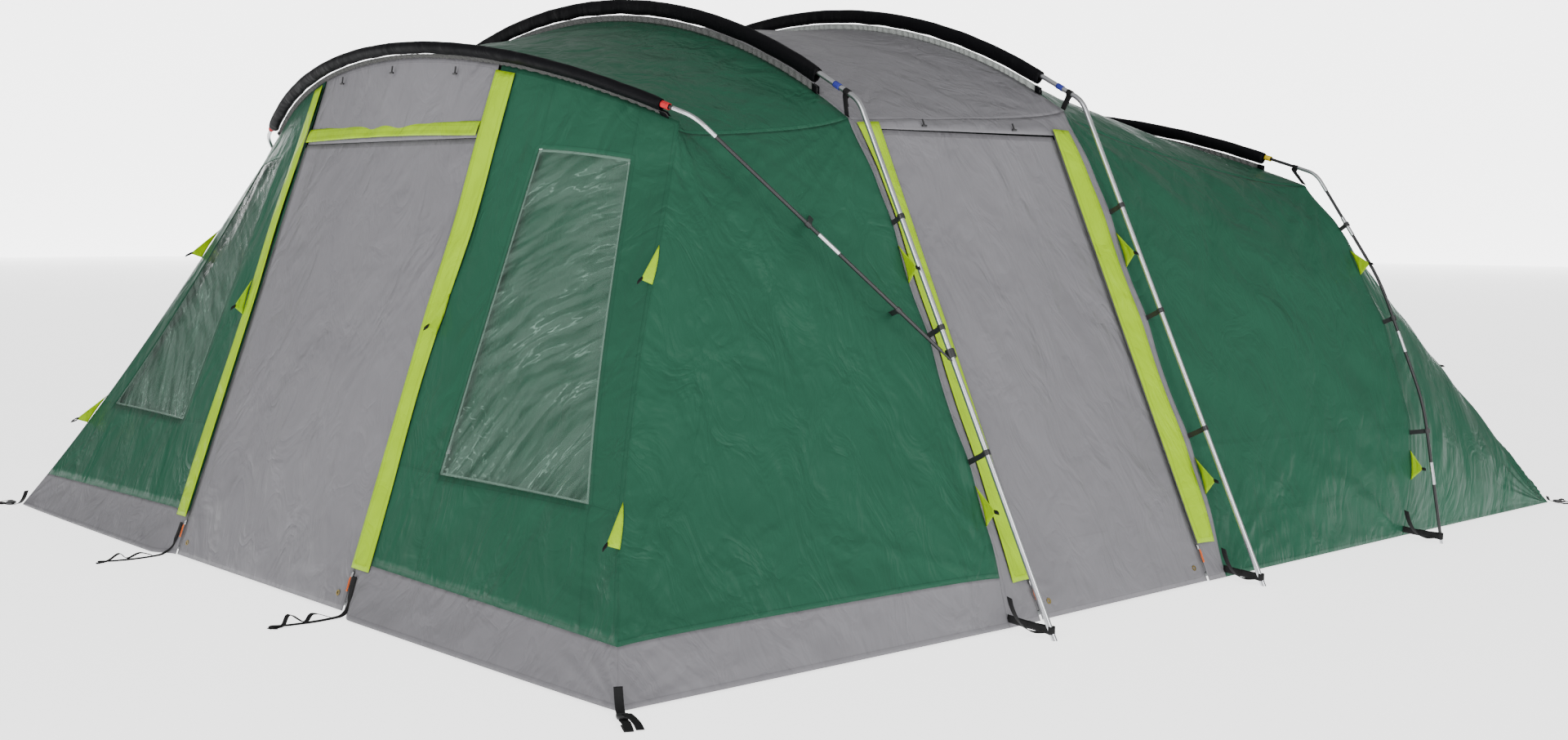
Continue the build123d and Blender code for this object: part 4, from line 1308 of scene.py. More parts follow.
    def header(self) -> None:
        """Makes the cloth between the door's top seam and the porch hoop."""
        half, seam = door_edge(HEADER_TOP) - 0.002, FRONT_HINGE + 0.001
        foot = np.linspace(front_face(-half, seam), front_face(half, seam), 61)
        top = PORCH.arc(PORCH.drop, half, 61)[::-1]
        points = coons(foot, top, np.linspace(foot[0], top[0], 22), np.linspace(foot[-1], top[-1], 22))
        header = Piece("front_header_cloth", Finish.GREY, "grey_cloth")
        header.add(self.fly.creased(points, 90, 0.004, 0.2), inside=inside_of(points))
        header.cloth("front_header", rests_on=["porch_hoop_sleeve_web"])

    def door(self) -> None:
        """Makes the canopy door, slightly slack, on its own body."""
        z = np.linspace(DOOR_HEM, FRONT_HINGE - 0.001, self.door_points[0])[:, None]
        across = np.linspace(-1, 1, self.door_points[1])[None]
        points = front_face(across * door_edge(z), z)
        slack = self.door_slack * np.cos(across * np.pi / 2) * np.sin(np.pi * (z / FRONT_HINGE) ** 0.7)
        heights = slack + creases(points, 91, 0.007, 0.05)
        door = Piece("front_door_cloth", Finish.GREY, "grey_cloth", "front_door")
        door.add(lifted(points, heights, inside_of(points)), inside=inside_of(points))
        door.cloth("front_door", rests_on=["front_header"])


@dataclass
class SideDoors:
    """The side walls of the middle bay and the canopy doors in them."""

    fly: Flysheet
    cells_up: tuple = (70, 6)
    cells_across: tuple = (10, 46, 10)
    door_points: tuple = (74, 48)
    door_slack: float = 0.008
    seam_height: float = 0.24

    def __post_init__(self) -> None:
        """Reads the walls of the middle bay as surfaces, with shares even along their seams."""
        even = np.linspace(0, 1, self.fly.wall_rows)
        self.level = {}
        for side in Side:
            wall = self.fly.wall(self.fly.middle, side)
            columns = [points_at(wall[:, c], self.fly.up, even) for c in range(wall.shape[1])]
            self.level[side] = Surface(np.stack(columns, 1))

    @staticmethod
    def share(y: Array | float) -> Array | float:
        """Share along the middle bay of a distance along the tent."""
        return (y - FRONT.y) / (MIDDLE.y - FRONT.y)

    @staticmethod
    def rise(share: Array | float, z: Array | float) -> Array | float:
        """Share up the wall of a height, at a share along the bay."""
        low, high = FRONT.cloth_at(FRONT.shoulder)[2], MIDDLE.cloth_at(MIDDLE.shoulder)[2]
        return (z - HEM) / (low + (high - low) * share - HEM)

    def build(self) -> None:
        """Makes both walls and both doors."""
        rows, columns = self.cells_up, self.cells_across
        low, high = ([0, self.share(front - ZIP_GAP), self.share(rear + ZIP_GAP), 1]
                     for front, rear in (SIDE_FOOT, SIDE_TOP))
        corners = np.array([
            [(u, 0.0) for u in low],
            [(u, self.rise(u, SIDE_HINGE + 0.001)) for u in high],
            [(u, 1.0) for u in high],
        ])
        spots = block_map(corners, rows, columns)
        keep = np.ones((sum(rows), sum(columns)), bool)
        keep[: rows[0], columns[0]:columns[0] + columns[1]] = False
        for side in Side:
            points = self.level[side].at(spots[..., 0], spots[..., 1])
            piece = Piece(f"middle_wall_{side.word}_cloth", Finish.GREY, "grey_cloth")
            piece.add(points, keep, inside=inside_of(points))
            piece.cloth(f"middle_wall_{side.word}", rests_on=["pole_clips"])
            self.door(side)

    def door(self, side: Side) -> None:
        """Makes one door, slightly slack, on its own body.

        Args:
            side: The side of the tent.
        """
        z = np.linspace(DOOR_HEM, SIDE_HINGE - 0.001, self.door_points[0])[:, None]
        share = np.linspace(0, 1, self.door_points[1])[None]
        front, rear = side_edge(0, z), side_edge(1, z)
        points = side_face(front + (rear - front) * share, z)
        slack = self.door_slack * np.sin(np.pi * share) * np.sin(np.pi * (z / SIDE_HINGE) ** 0.7)
        heights = slack + creases(points, 95 + side.value, 0.007, 0.1)
        cloth = side.place(lifted(points, heights, inside_of(points)))
        piece = Piece(f"side_door_{side.word}_cloth", Finish.GREY, "grey_cloth", f"{side.word}_door")
        piece.add(cloth, None, None, inside_of(cloth), np.abs(cloth[..., 2] - self.seam_height) + 0.0006)
        piece.cloth(f"side_door_{side.word}", rests_on=[f"middle_wall_{side.word}"])


@dataclass
class Sleeves:
    """The cloth tube round each roof rod, the strip below it and the marking tape at its ends."""

    half_width: float = 0.0175
    crest: float = 0.0185
    pleat_depth: float = 0.0035
    pleat_pitch: float = 0.034
    tape_width: float = 0.028
    tape_radius: float = 0.0115
    tab_width: float = 0.030
    tab_gap: float = 0.0055

    def build(self) -> None:
        """Makes the sleeves of the four hoops."""
        for name, hoop, finish, tape, reach in (
            ("porch_hoop", PORCH, Finish.DARK_MESH, Finish.RED_TAPE, 0.038),
            ("front_hoop", FRONT, Finish.GREY_MESH, Finish.BLUE_TAPE, 0.118),
            ("middle_hoop", MIDDLE, Finish.PALE_MESH, Finish.BLUE_TAPE, 0.118),
            ("rear_hoop", REAR, Finish.GREY_MESH, Finish.YELLOW_TAPE, 0.042),
        ):
            self.sleeve(name, hoop)
            self.strip(name, hoop, finish)
            self.marks(name, hoop, tape, reach)
            self.end_tabs(name, hoop)

    @staticmethod
    def upright(hoop: Hoop) -> Array:
        """Direction square to the hoop's plane."""
        tilt = np.radians(hoop.lean)
        return np.array([0.0, np.cos(tilt), np.sin(tilt)])

    @staticmethod
    def depth(hoop: Hoop) -> float:
        """How far the flattened sleeve hangs below the middle of its rod."""
        return 0.6 * hoop.drop

    def sleeve(self, name: str, hoop: Hoop) -> None:
        """Makes the tube, slack and a little flattened, drawn in at its ends.

        Args:
            name: The hoop's name.
            hoop: The hoop.
        """
        count, sides = 200, 18
        path = hoop.arc(0.001, hoop.joint + 0.036, count)
        chance = np.random.default_rng(len(name) + int(hoop.y * 1000))
        run = run_lengths(path[:, None], 0)[:, 0]
        turn = np.linspace(0, 2 * np.pi, sides + 1)[None]
        slack = np.zeros((count, sides + 1))
        for _ in range(8):
            wave = 2 * np.pi / chance.uniform(0.06, 0.30)
            slack += np.sin(run[:, None] * wave + chance.integers(1, 4) * turn + chance.uniform(0, PHASE))
        to_end = np.minimum(run, run[-1] - run)[:, None]
        reach = np.where(np.cos(turn) > 0, self.depth(hoop), self.crest)
        oval = 1 / np.sqrt((np.cos(turn) / reach) ** 2 + (np.sin(turn) / self.half_width) ** 2)
        radius = oval * (0.90 + 0.10 * smooth(0, 0.02, to_end)) * (1 + 0.010 * slack)
        piece = Piece(f"{name}_sleeve_cloth", Finish.SLEEVE, "black_sleeve")
        piece.add(tube(path, radius, self.upright(hoop), sides), edge=to_end + 0 * turn)
        piece.cloth(f"{name}_sleeve", rests_on=[f"{name}_roof_rod"])

    def strip(self, name: str, hoop: Hoop, finish: Finish) -> None:
        """Makes the gathered strip that hangs the roof cloth from the sleeve.

        Args:
            name: The hoop's name.
            hoop: The hoop.
            finish: The netting.
        """
        count, rows = 420, 7
        high = hoop.arc(self.depth(hoop) + 0.004, hoop.joint + 0.03, count)
        low = hoop.arc(hoop.drop + 0.002, hoop.joint + 0.03, count)
        share = np.linspace(0, 1, rows)[:, None]
        run = run_lengths(high[None], 1)
        bend = wander(run, np.random.default_rng(int(hoop.y * 1000) + 7), 3, 25, 5)
        wave = np.sin(run * 2 * np.pi / self.pleat_pitch + 1.6 * bend)
        pleat = self.pleat_depth * wave * np.sin(np.pi * (0.1 + 0.85 * share))
        points = low[None] + (high - low)[None] * share[..., None] + pleat[..., None] * self.upright(hoop)
        piece = Piece(f"{name}_sleeve_web_cloth", finish, "mesh")
        piece.add(points, edge=np.full(points.shape[:2], 0.5))
        piece.cloth(f"{name}_sleeve_web", held="gathered", rests_on=[f"{name}_sleeve"])

    def marks(self, name: str, hoop: Hoop, finish: Finish, reach: float) -> None:
        """Makes a turn of coloured tape on the pole, beyond each end of the sleeve by a reach.

        Args:
            name: The hoop's name.
            hoop: The hoop.
            finish: The tape.
            reach: Distance from the joint, across the tent.
        """
        piece = Piece(f"{name}_marking_tape", finish, "black_webbing")
        ends = hoop.place(*self.beyond(hoop, hoop.joint + reach + np.linspace(0, self.tape_width, 6)))
        piece.both(tube(ends, self.tape_radius, self.upright(hoop)))
        piece.make(thickness=0.001)

    def end_tabs(self, name: str, hoop: Hoop) -> None:
        """Makes the band that closes each end of the strip, folded over both its faces.

        Args:
            name: The hoop's name.
            hoop: The hoop.
        """
        piece = Piece(f"{name}_end_tabs", Finish.SLEEVE, "black_sleeve")
        high = hoop.arc(self.depth(hoop) + 0.003, hoop.joint + 0.034, 60)
        low = hoop.arc(hoop.drop + 0.001, hoop.joint + 0.034, 60)
        along = unit(high[0] - high[1])
        for face in (-1, 1):
            path = np.linspace(high[0], low[0], 6) + face * self.tab_gap * self.upright(hoop) - along * 0.013
            piece.both(ribbon(path, along, self.tab_width, 4))
        piece.make(thickness=0.001)

    @staticmethod
    def beyond(hoop: Hoop, x: Array) -> tuple[Array, Array]:
        """Places along the straight run that carries on from the roof arc's end."""
        rise = np.sqrt(hoop.radius**2 - hoop.joint**2)
        return x, hoop.crown - hoop.radius + rise - hoop.joint / rise * (x - hoop.joint)


@dataclass
class ZipCovers:
    """Bright strips over the zips and the band over the front door."""

    front: Front
    doors: SideDoors
    width: float = 0.094
    lift: float = 0.0065
    flare: float = 0.0075
    crown: float = 0.0045
    pucker: float = 0.0011
    band_height: float = 0.052

    def build(self) -> None:
        """Makes the covers of the three doors."""
        covers = Piece("front_zip_covers_cloth", Finish.LIME, "lime_cloth")
        for side in Side:
            strip = self.front_strip(side)
            covers.add(side.place(strip), inside=inside_of(strip))
        band = self.band()
        covers.add(band, inside=inside_of(band))
        covers.cloth("front_zip_covers", rests_on=["front_panel_right", "front_panel_left", "front_header"])
        for side in Side:
            piece = Piece(f"side_zip_covers_{side.word}_cloth", Finish.LIME, "lime_cloth")
            for index in (0, 1):
                strip = self.side_strip(side, index)
                piece.add(strip, inside=inside_of(strip))
            piece.cloth(f"side_zip_covers_{side.word}", rests_on=[f"middle_wall_{side.word}"])

    def dressed(self, points: Array, seed: int) -> Array:
        """A strip raised off the cloth, crowned across and lightly puckered along its stitching.

        Args:
            points: Grid of the strip, its free edge first.
            seed: Chooses the puckers, the same on each run.

        Returns:
            The raised grid.
        """
        chance = np.random.default_rng(seed)
        run = run_lengths(points, 0)
        share = np.linspace(0, 1, points.shape[1])[None]
        crown = self.crown * np.sin(np.pi * share) ** 0.7
        pucker = np.zeros(points.shape[:2])
        for _ in range(7):
            length = chance.uniform(0.10, 0.55)
            slant = share * chance.uniform(-2, 2)
            pucker += np.sin(run * 2 * np.pi / length + slant + chance.uniform(0, PHASE))
        flap = self.lift + self.flare * (1 - share) ** 3
        puckered = self.pucker * pucker * np.sin(np.pi * share)
        return lifted(points, flap + crown + puckered, inside_of(points))

    def front_strip(self, side: Side) -> Array:
        """Points of the strip beside the front door, from the skirt to the porch hoop.

        Args:
            side: Chooses the waves of its edge and its puckers.

        Returns:
            A grid on the right-hand side.
        """
        v = np.linspace(self.front.fly.skirt_share * 0.86, 0.988, 96)
        inner = self.front.panel.at(np.zeros_like(v), v) - np.array([ZIP_GAP - 0.002, 0, 0])
        outer = self.front.panel.at(np.full_like(v, 0.062), v)
        outer = inner + unit(outer - inner) * (self.width + 0.006 * np.sin(v * 9.0 + side.value))[:, None]
        bow = 0.014 * np.exp(-(((v - 0.70) / 0.12) ** 2)) - 0.008 * np.exp(-(((v - 0.40) / 0.14) ** 2))
        share = np.linspace(0, 1, 9)[None, :, None]
        points = inner[:, None] * (1 - share) + outer[:, None] * share
        points[..., 0] += np.maximum(bow, 0)[:, None] + np.minimum(bow, 0)[:, None] * share[..., 0]
        return self.dressed(points, 101 + side.value)

    def band(self) -> Array:
        """Points of the band along the front door's top seam.

        Returns:
            A grid of points.
        """
        x = np.linspace(-1, 1, 62)[None] * (door_edge(HEADER_TOP) - 0.004)
        up = np.linspace(0, 1, 7)[:, None]
        bow = 0.010 * np.cos(x / 0.62 * np.pi / 2)
        points = front_face(x + 0 * up, FRONT_HINGE + 0.004 + bow + self.band_height * up)
        return self.dressed(points.transpose(1, 0, 2), 105).transpose(1, 0, 2)

    def side_strip(self, side: Side, index: int) -> Array:
        """Points of the strip beside a side door, outside its front or rear edge.

        Args:
            side: The side of the tent.
            index: 0 for the door's front edge, 1 for its rear one.

        Returns:
            A grid on that side.
        """
        z = np.linspace(0.128, SIDE_HINGE + 0.02, 90)[:, None]
        away = 2 * index - 1
        y = side_edge(index, z) + away * (0.002 + self.width * np.linspace(0, 1, 8)[None])
        share = self.doors.share(y)
        points = self.doors.level[side].at(share, self.doors.rise(share, z))
        return self.dressed(points, 110 + 3 * index + side.value)


@dataclass
class Fittings:
    """Small parts of the flysheet: zips, sliders, guy points and webbing at the ground."""

    fly: Flysheet
    covers: ZipCovers
    patch_half: float = 0.0375
    patch_reach: float = 0.066
    cover_rows: tuple = (44, 52)
    cover_reach: float = 0.045
    zip_foot: float = 0.040
    slider_rest: float = 0.092
    strap_height: float = 0.03
    floor_inset: float = 0.075
    rim_width: float = 0.035
    rim_height: float = 0.030
    loop_width: float = 0.010
    shoulder_width: float = 0.024

    def build(self) -> None:
        """Makes the small parts."""
        self.guys()
        self.shoulders()
        self.sliders()
        self.straps()
        self.floor()

    def guys(self) -> None:
        """Makes the folded bright triangles in seams and on the front zip covers, each with a loop."""
        fly, outward = self.fly, (1, -0.2, 0.45)
        spots = []
        for seam, shares, out in (
            (fly.corner_seam, (0.27, 0.72), (0.25, -1, -0.15)),
            (fly.front_seam, (0.22, 0.69), outward),
            (fly.middle_seam, (0.20, 0.68), outward),
            (fly.rear_seam, (0.17, 0.74), outward),
        ):
            for share in shares:
                ends = points_at(seam, fly.up, np.array([share - self.patch_half, share + self.patch_half]))
                spots.append((*ends, out, self.patch_reach))
        tail = fly.tail[fly.wall_rows - 1]
        ends = points_at(tail, np.linspace(0, 1, len(tail)), np.array([0.58, 0.505]))
        spots.append((*ends, (1, 0.9, 0.5), self.patch_reach))
        cover = self.covers.front_strip(Side.RIGHT)[:, -1]
        spots.append((*cover[list(self.cover_rows)], (0, -1, 0), self.cover_reach))
        patches = Piece("guy_points_cloth", Finish.LIME, "lime_cloth")
        loops = Piece("guy_loops", Finish.WEBBING, "black_webbing")
        for low, high, out, reach in spots:
            tip = low + (high - low) * 0.22 + unit(np.array(out, float)) * reach
            base = np.linspace(low, high, 7)
            rise = np.linspace(0, 0.9, 7)[:, None, None]
            points = base[None] * (1 - rise) + tip * rise
            side = unit(np.cross(high - low, tip - low))
            fold = 0.006 * np.sin(np.pi * np.linspace(0, 1, 7))[None, :, None]
            points = points + side * fold * (1 - rise)
            ring = curve([points[-1].mean(0), tip + side * 0.006, tip + (tip - points[-2].mean(0)) * 0.9,
                          tip - side * 0.006, points[-1].mean(0)], 20)
            patches.both(points, np.full(points.shape[:2], 0.5))
            loops.both(ribbon(ring, unit(high - low), self.loop_width, 3))
        patches.cloth("guy_points", held="folded", rests_on=["porch_wall_right", "rear_wall_right"])
        loops.make(thickness=0.0015)

    def shoulders(self) -> None:
        """Makes the strap at each bend of a hoop, from the corner of the cloth round the pole."""
        piece = Piece("shoulder_straps", Finish.WEBBING, "black_webbing")
        for hoop, x, radius in ((FRONT, 1.470, 0.0118), (MIDDLE, 1.470, 0.0118), (REAR, 1.690, 0.0085)):
            ends = hoop.place(*Sleeves.beyond(hoop, np.array([x, x + 0.01])))
            along = unit(ends[1] - ends[0])
            foot = hoop.cloth_at(hoop.shoulder - 0.006)
            toward = unit(foot - ends[0] - along * np.dot(foot - ends[0], along))
            across = np.cross(along, toward)
            turn = np.linspace(-2.6, 2.6, 13)[:, None]
            ring = ends[0] - radius * (toward * np.cos(turn) + across * np.sin(turn))
            waist = ends[0] + toward * (radius + 0.010)
            base = foot - toward * 0.003
            stops = [base - across * 0.002, waist - across * 0.002, *ring[::-1], waist + across * 0.002,
                     base * 0.4 + waist * 0.6 + across * 0.003]
            piece.both(ribbon(curve(stops, 70), along, self.shoulder_width))
        piece.make(thickness=0.0016)

    def sliders(self) -> None:
        """Makes the six sliders: a metal body and a doubled cord with a knot."""
        for node, body, seat, along, out in self.zips():
            across = np.cross(along, out)
            metal = Piece(f"{node}_body", Finish.NICKEL, "slider", body)
            metal.add(bead(seat + out * 0.0035, along, across, (0.0048, 0.0034, 0.0095), 0.5))
            metal.add(bead(seat + out * 0.0068 - along * 0.004, along, across, (0.0022, 0.0015, 0.0085), 0.5))
            metal.make(node)
            cord = Piece(f"{node}_pull", Finish.ORANGE, "slider", body)
            start = seat + out * 0.0075 - along * 0.010
            stops = [start + across * x - along * d + out * o for x, d, o in (
                (0.0012, 0.0, 0.0), (0.0026, 0.012, 0.001), (0.0030, 0.030, 0.0), (0.0012, 0.044, 0.001),
                (-0.0012, 0.044, 0.001), (-0.0030, 0.030, 0.0), (-0.0026, 0.012, 0.001), (-0.0012, 0.0, 0.0),
            )]
            cord.add(tube(curve(stops, 60), 0.0015, out, 8))
            cord.add(bead(start - along * 0.045, along, across, (0.0034, 0.0034, 0.0042), 0.9))
            cord.make()

    def zips(self) -> list[tuple]:
        """The sliders' nodes and bodies, with where each rests, its run up the zip and the way out.

        Returns:
            Node, body, seat, direction up the zip and direction out of the cloth of each slider.
        """
        low, step = self.zip_foot, ZIP_GAP / 2
        lines = [("front_zip_slider_{}", "front_slider_{}", front_face(door_edge(low) + step, low),
                  front_face(DOOR_TOP + step, FRONT_HINGE - ZIP_GAP), (0, -1, FRONT_LEAN))]
        for index, end in enumerate(("front", "rear")):
            away = (2 * index - 1) * step
            start, stop = (side_face(side_edge(index, z) + away, z) for z in (low, SIDE_HINGE - ZIP_GAP))
            names = (f"side_zip_slider_{end}_{{}}", f"{{}}_{end}_slider")
            lines.append((*names, start, stop, (1, 0, SIDE_LEAN)))
        found = []
        for node, body, start, stop, out in lines:
            for side in Side:
                run = side.place(unit(stop - start))
                seat = side.place(start) + run * self.slider_rest
                out_of = side.place(unit(np.array(out, float)))
                found.append((node.format(side.word), body.format(side.word), seat, run, out_of))
        return found

    def straps(self) -> None:
        """Makes the webbing at the ground: corner straps with buckles, door straps and pole foot wraps."""
        fly = self.fly
        corners = ((fly.front_corner, (1.0, -0.55), 0.070, 0.168, 0.062),
                   (fly.tail_corner, (0.8, 1.0), 0.035, 0.112, 0.045))
        feet = ((2.400, fly.front_hem), (2.378, fly.middle_hem), (2.405, fly.rear_hem))
        webbing = Piece("peg_straps_webbing", Finish.WEBBING, "black_webbing")
        buckles = Piece("strap_buckles", Finish.PLASTIC, "black_webbing")
        for side in Side:
            grids = []
            for corner, out, rise, reach, clasp in corners:
                grids += self.corner(corner, out, rise, reach)
                buckles.add(side.place(self.buckle(corner, out, clasp)))
            grids += self.door_strap()
            for x, hem in feet:
                grids += self.foot_strap(np.array([x, hem[1], self.strap_height]), hem)
            for grid in grids:
                webbing.add(side.place(grid))
        webbing.make("peg_straps", thickness=0.0022)
        buckles.make()

    @staticmethod
    def corner(corner: Array, out: tuple, rise: float, reach: float) -> list[Array]:
        """A strap sewn up a corner, led to the ground and out to its loop, and its loose tail.

        Args:
            corner: The cloth's corner.
            out: Direction on the ground.
            rise: How far up the corner it is sewn.
            reach: How far out its loop lies.

        Returns:
            Grids of the strap and its tail.
        """
        ahead = unit(np.array([*out, 0.0]))
        across = np.array([-ahead[1], ahead[0], 0.0])
        base = corner * np.array([1, 1, 0.0])
        stops = [base + ahead * a + np.array([0, 0, z]) for a, z in (
            (0.012 - rise / 2, rise), (0.012 - rise / 4, rise / 2), (0.020, 0.012), (reach * 0.4, 0.005),
            (reach * 0.7, 0.010), (reach * 0.95, 0.006), (reach, 0.004), (reach * 0.9, 0.002),
            (reach * 0.6, 0.002),
        )]
        tail = [base + ahead * a + across * c + np.array([0, 0, z]) for a, c, z in (
            (0.045, 0.004, 0.012), (0.075, 0.012, 0.020), (reach * 0.75, 0.026, 0.012),
            (reach * 0.98, 0.030, 0.004),
        )]
        return [ribbon(curve(stops, 50), across, 0.025), ribbon(curve(tail, 24), across, 0.022)]

    @staticmethod
    def buckle(corner: Array, out: tuple, reach: float) -> Array:
        """A ladder buckle on a corner strap.

        Args:
            corner: The cloth's corner.
            out: Direction on the ground.
            reach: How far out it lies.

        Returns:
            A closed grid.
        """
        ahead = unit(np.array([*out, 0.0]))
        centre = corner * np.array([1, 1, 0.0]) + ahead * reach + np.array([0, 0, 0.013])
        return bead(centre, ahead, np.cross(ahead, [0, 0, 1.0]), (0.018, 0.006, 0.016), 0.4)

    @staticmethod
    def door_strap() -> list[Array]:
        """The strap on the ground beside the front door, with its tail folded back in bends.

        Returns:
            Grids of the strap and its tail.
        """
        x = 0.690
        out = np.array([0.0, -0.008, 0.003])
        sewn = ((0.664, 0.122), (0.666, 0.094), (0.672, 0.062), (0.682, 0.032))
        stops = [front_face(at, z) + out for at, z in sewn]
        stops += [site(x, y, z) for y, z in (
            (0.000, 0.010), (-0.04, 0.004), (-0.12, 0.003), (-0.20, 0.006), (-0.245, 0.010), (-0.252, 0.006),
            (-0.235, 0.003),
        )]
        tail = [site(x + dx, y, z) for dx, y, z in (
            (-0.004, -0.05, 0.010), (-0.014, -0.10, 0.026), (0.006, -0.14, 0.008), (-0.018, -0.18, 0.034),
            (0.004, -0.215, 0.008), (0.000, -0.26, 0.004),
        )]
        across = np.array([1.0, 0.12, 0.0])
        return [ribbon(curve(stops, 70), across, 0.022), ribbon(curve(tail, 40), across, 0.020)]

    @staticmethod
    def foot_strap(foot: Array, hem: Array) -> list[Array]:
        """A strap from the hem round a pole's foot, and its loose end.

        Args:
            foot: Middle of the pole where the strap goes round it.
            hem: Point of the hem beside it.

        Returns:
            Grids of the strap and its tail.
        """
        toward = unit((hem - foot) * np.array([1, 1, 0]))
        side = np.array([-toward[1], toward[0], 0.0])
        turn = np.linspace(-2.4, 2.4, 9)[:, None]
        ring = foot + 0.0125 * (side * np.sin(turn) - toward * np.cos(turn))
        start = hem + np.array([-0.012, 0, 0.030])
        middle = (start + foot) / 2
        stops = [start, middle - side * 0.006 - np.array([0, 0, 0.004]), *ring, middle + side * 0.006]
        tail = [foot + toward * d + np.array([0, y, z]) for d, y, z in (
            (0.020, -0.018, -0.006), (0.050, -0.022, -0.010), (0.075, -0.034, 0.000), (0.095, -0.052, 0.030),
            (0.105, -0.066, 0.066), (0.110, -0.072, 0.096),
        )]
        tall = np.array([0.0, 0.0, 1.0])
        slanted = unit(tall * 0.25 + toward)
        return [ribbon(curve(stops, 60), tall, 0.025), ribbon(curve(tail, 36), slanted, 0.021)]

    def floor(self) -> None:
        """Makes the groundsheet, laid flat with low ripples and its rim turned up inside the hems."""
        fly = self.fly
        hems = np.array([fly.front_corner, fly.front_hem, fly.rear_hem, fly.tail_corner])
        y = np.concatenate([[0.060], np.linspace(0.092, 5.196, 100), [5.228]])[:, None] - Y_CENTRE
        half = np.interp(y, hems[:, 1], hems[:, 0]) - self.floor_inset
        across = np.linspace(-1, 1, 84)[None]
        x = np.concatenate([-half - self.rim_width, across * half, half + self.rim_width], 1)
        points = np.stack([x, y + 0 * x, np.full(x.shape, 0.0025)], -1)
        points[..., 2] += np.abs(creases(points, 120, 0.005, 0.4))
        points[[0, -1], :, 2] = self.rim_height
        points[:, [0, -1], 2] = self.rim_height
        piece = Piece("groundsheet_cloth", Finish.FLOOR, "floor_sheet")
        piece.add(points, inside=np.array([0, 0, -1.0]))
        piece.cloth("groundsheet", held="laid", rests_on=["floor"])


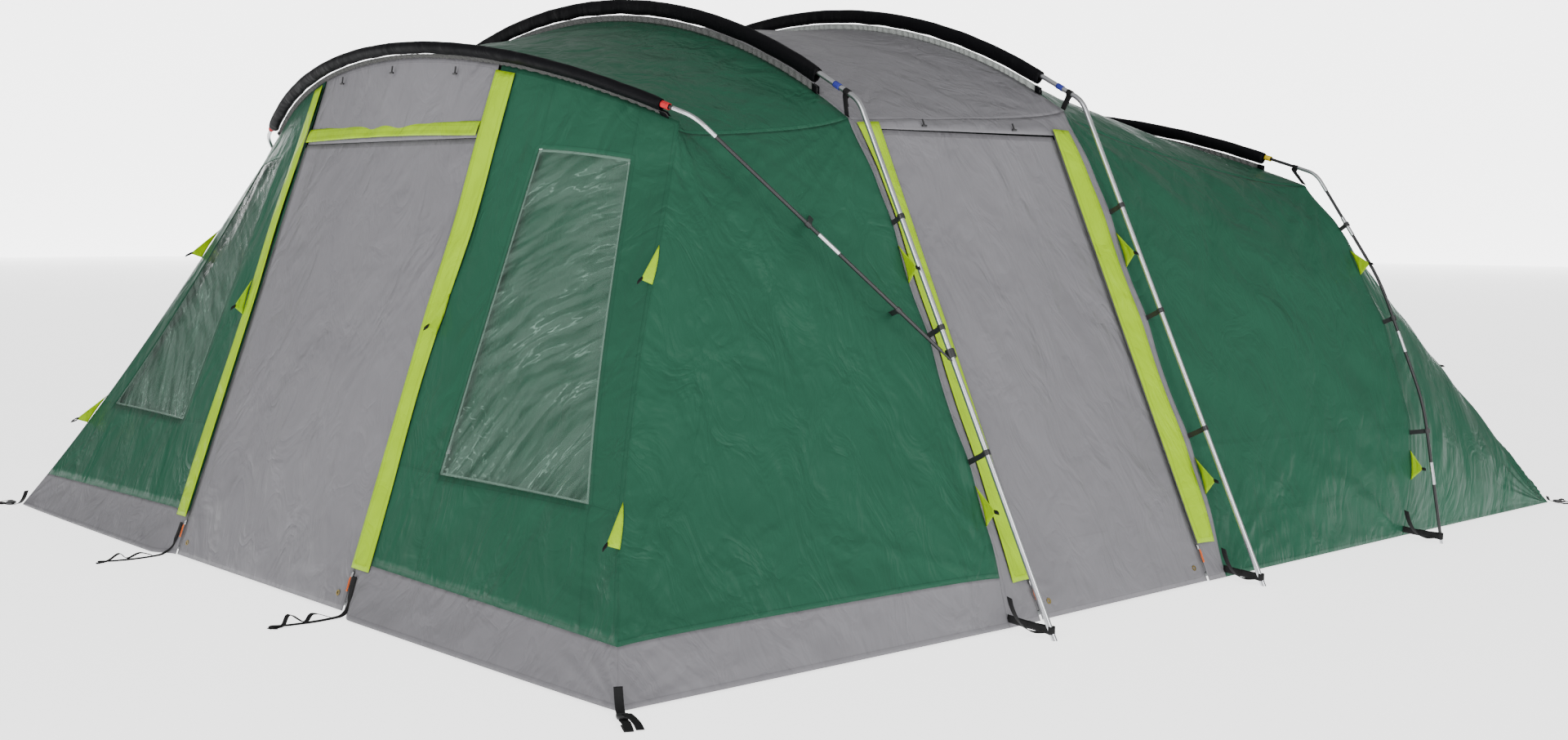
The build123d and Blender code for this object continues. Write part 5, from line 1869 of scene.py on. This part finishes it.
@dataclass
class Studio:
    """Camera at the photograph's viewing angle, pale floor and soft light."""

    focal_px: float = 2204.339
    picture_width_px: float = 1920.0
    sensor_width: float = 36.0
    azimuth: float = 47.493
    pitch: float = 5.31
    roll: float = 0.336
    place: tuple = (5.905, -5.3955, 1.355)
    floor_half: float = 60.0
    wall_reach: float = 38.0
    wall_half_turn: float = 0.62
    wall_ends: tuple = (-0.02, 9.0)
    surround: float = 0.45

    def build(self) -> None:
        """Makes the camera, the floor, the backdrop and the lights."""
        ahead = self.camera()
        self.floor()
        self.backdrop(ahead)
        self.lights()

    @staticmethod
    def stand(made: bpy.types.Object, right: Array, up: Array, back: Array, where: Sequence[float]) -> None:
        """Puts a camera or a lamp at a place, with its axes along three directions.

        Args:
            made: The object.
            right: Direction of its X axis.
            up: Direction of its Y axis.
            back: Direction of its Z axis, away from what it faces.
            where: The place.
        """
        bpy.context.scene.collection.objects.link(made)
        turn = np.eye(4)
        turn[:3] = np.stack([right, up, back, where], -1)
        made.matrix_world = Matrix(turn.tolist())

    def camera(self) -> Array:
        """Makes the camera and returns the direction in which it looks.

        Returns:
            The direction, as a unit vector.
        """
        az, pitch, roll = np.radians([self.azimuth, self.pitch, self.roll])
        ahead = np.array([-np.sin(az) * np.cos(pitch), np.cos(az) * np.cos(pitch), -np.sin(pitch)])
        right = np.array([np.cos(az), np.sin(az), 0.0])
        up = np.cross(right, ahead)
        across = right * np.cos(roll) + up * np.sin(roll)
        above = up * np.cos(roll) - right * np.sin(roll)
        data = bpy.data.cameras.new("camera")
        data.sensor_width = self.sensor_width
        data.lens = self.focal_px / self.picture_width_px * self.sensor_width
        camera = bpy.data.objects.new("camera", data)
        self.stand(camera, across, above, -ahead, self.place)
        bpy.context.scene.camera = camera
        return ahead

    @staticmethod
    def glowing(name: str, grain: Sequence[float], greys: Sequence[float], roughness: float,
                strength: float) -> bpy.types.Material:
        """A pale material that glows, between two greys, with the scale and detail of its grain.

        Args:
            name: The material's name.
            grain: Scale and detail of its noise.
            greys: The darker and the lighter grey.
            roughness: Its roughness.
            strength: How strongly it glows.

        Returns:
            The material.
        """
        g = Graph(name)
        tone = g.mix(g.noise(*grain), *[(grey, grey, grey, 1) for grey in greys])
        return g.surface(Base_Color=tone, Roughness=roughness, Emission_Color=tone,
                         Emission_Strength=strength)

    @staticmethod
    def backing(name: str, points: Array, material: bpy.types.Material) -> None:
        """Makes a plain surface round the tent from a grid of points.

        Args:
            name: The object's name.
            points: The grid.
            material: Its material.
        """
        mesh = bpy.data.meshes.new(name)
        mesh.from_pydata(points.reshape(-1, 3), [], quads(*points.shape[:2]).reshape(-1, 4).tolist())
        mesh.polygons.foreach_set("use_smooth", np.ones(len(mesh.polygons), bool))
        mesh.materials.append(material)
        made = bpy.data.objects.new(name, mesh)
        bpy.context.scene.collection.objects.link(made)

    def backdrop(self, ahead: Array) -> None:
        """Makes a bright curved wall far behind the tent, as wide as the view.

        Args:
            ahead: Direction in which the camera looks.
        """
        away = np.arctan2(ahead[1], ahead[0])
        turn = np.linspace(away - self.wall_half_turn, away + self.wall_half_turn, 25)[None]
        turn, rise = np.broadcast_arrays(turn, np.array(self.wall_ends)[:, None])
        points = np.stack([self.wall_reach * np.cos(turn), self.wall_reach * np.sin(turn), rise], -1)
        self.backing("backdrop", points, self.glowing("bright_backdrop", (0.2, 1), (0.97, 1.0), 1.0, 3.0))

    def floor(self) -> None:
        """Makes a wide pale floor."""
        ends = np.array([-self.floor_half, self.floor_half])
        x, y = np.meshgrid(ends, ends)
        points = np.stack([x, y, 0 * x], -1)
        self.backing("floor", points, self.glowing("pale_floor", (0.8, 2), (0.86, 0.90), 0.9, 2.3))

    def lights(self) -> None:
        """Makes a white surround and two large soft lamps."""
        world = bpy.data.worlds.new("surround")
        world.use_nodes = True
        background = world.node_tree.nodes["Background"].inputs
        background["Color"].default_value = (1, 1, 1, 1)
        background["Strength"].default_value = self.surround
        bpy.context.scene.world = world
        for name, where, aim, size, power in (
            ("key", (3.0, -7.5, 4.6), (0.3, 0.0, 0.8), 4.5, 250.0),
            ("fill", (9.0, -1.8, 3.8), (1.2, -0.6, 0.8), 4.5, 330.0),
        ):
            data = bpy.data.lights.new(name, "AREA")
            data.energy, data.size = power, size
            back = unit(np.array(where) - np.array(aim))
            right = unit(np.cross([0, 0, 1.0], back))
            self.stand(bpy.data.objects.new(name, data), right, np.cross(back, right), back, where)


@dataclass
class Poles:
    """The poles and fittings that keep their CAD shape and take a finish."""

    finishes: dict = field(default_factory=lambda: {
        Finish.STEEL: ("front_hoop_leg", "middle_hoop_leg", "front_hoop_roof_rod", "middle_hoop_roof_rod",
                       "porch_hoop_ferrules", "rear_hoop_ferrules", "pole_feet"),
        Finish.ROD: ("porch_hoop_roof_rod", "porch_hoop_legs", "rear_hoop_roof_rod", "rear_hoop_legs"),
        Finish.BRASS: ("front_door_eyelets", "side_door_eyelets"),
        Finish.PLASTIC: ("porch_hoop_anchors", "pole_clips", "door_toggles"),
        Finish.ZIP: ("zip_tapes",),
    })

    def build(self) -> None:
        """Gives each CAD node that stays its finish."""
        for finish, names in self.finishes.items():
            for node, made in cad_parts.items():
                if node.startswith(names):
                    made.data.materials.clear()
                    made.data.materials.append(finish.material())


def main() -> None:
    """Builds the tent's pieces in order, then the studio."""
    logging.basicConfig(level=logging.INFO)
    Poles().build()
    fly = Flysheet()
    fly.build()
    front = Front(fly)
    front.build()
    doors = SideDoors(fly)
    doors.build()
    Sleeves().build()
    covers = ZipCovers(front, doors)
    covers.build()
    Fittings(fly, covers).build()
    Studio().build()


if __name__ == "__main__":
    main()
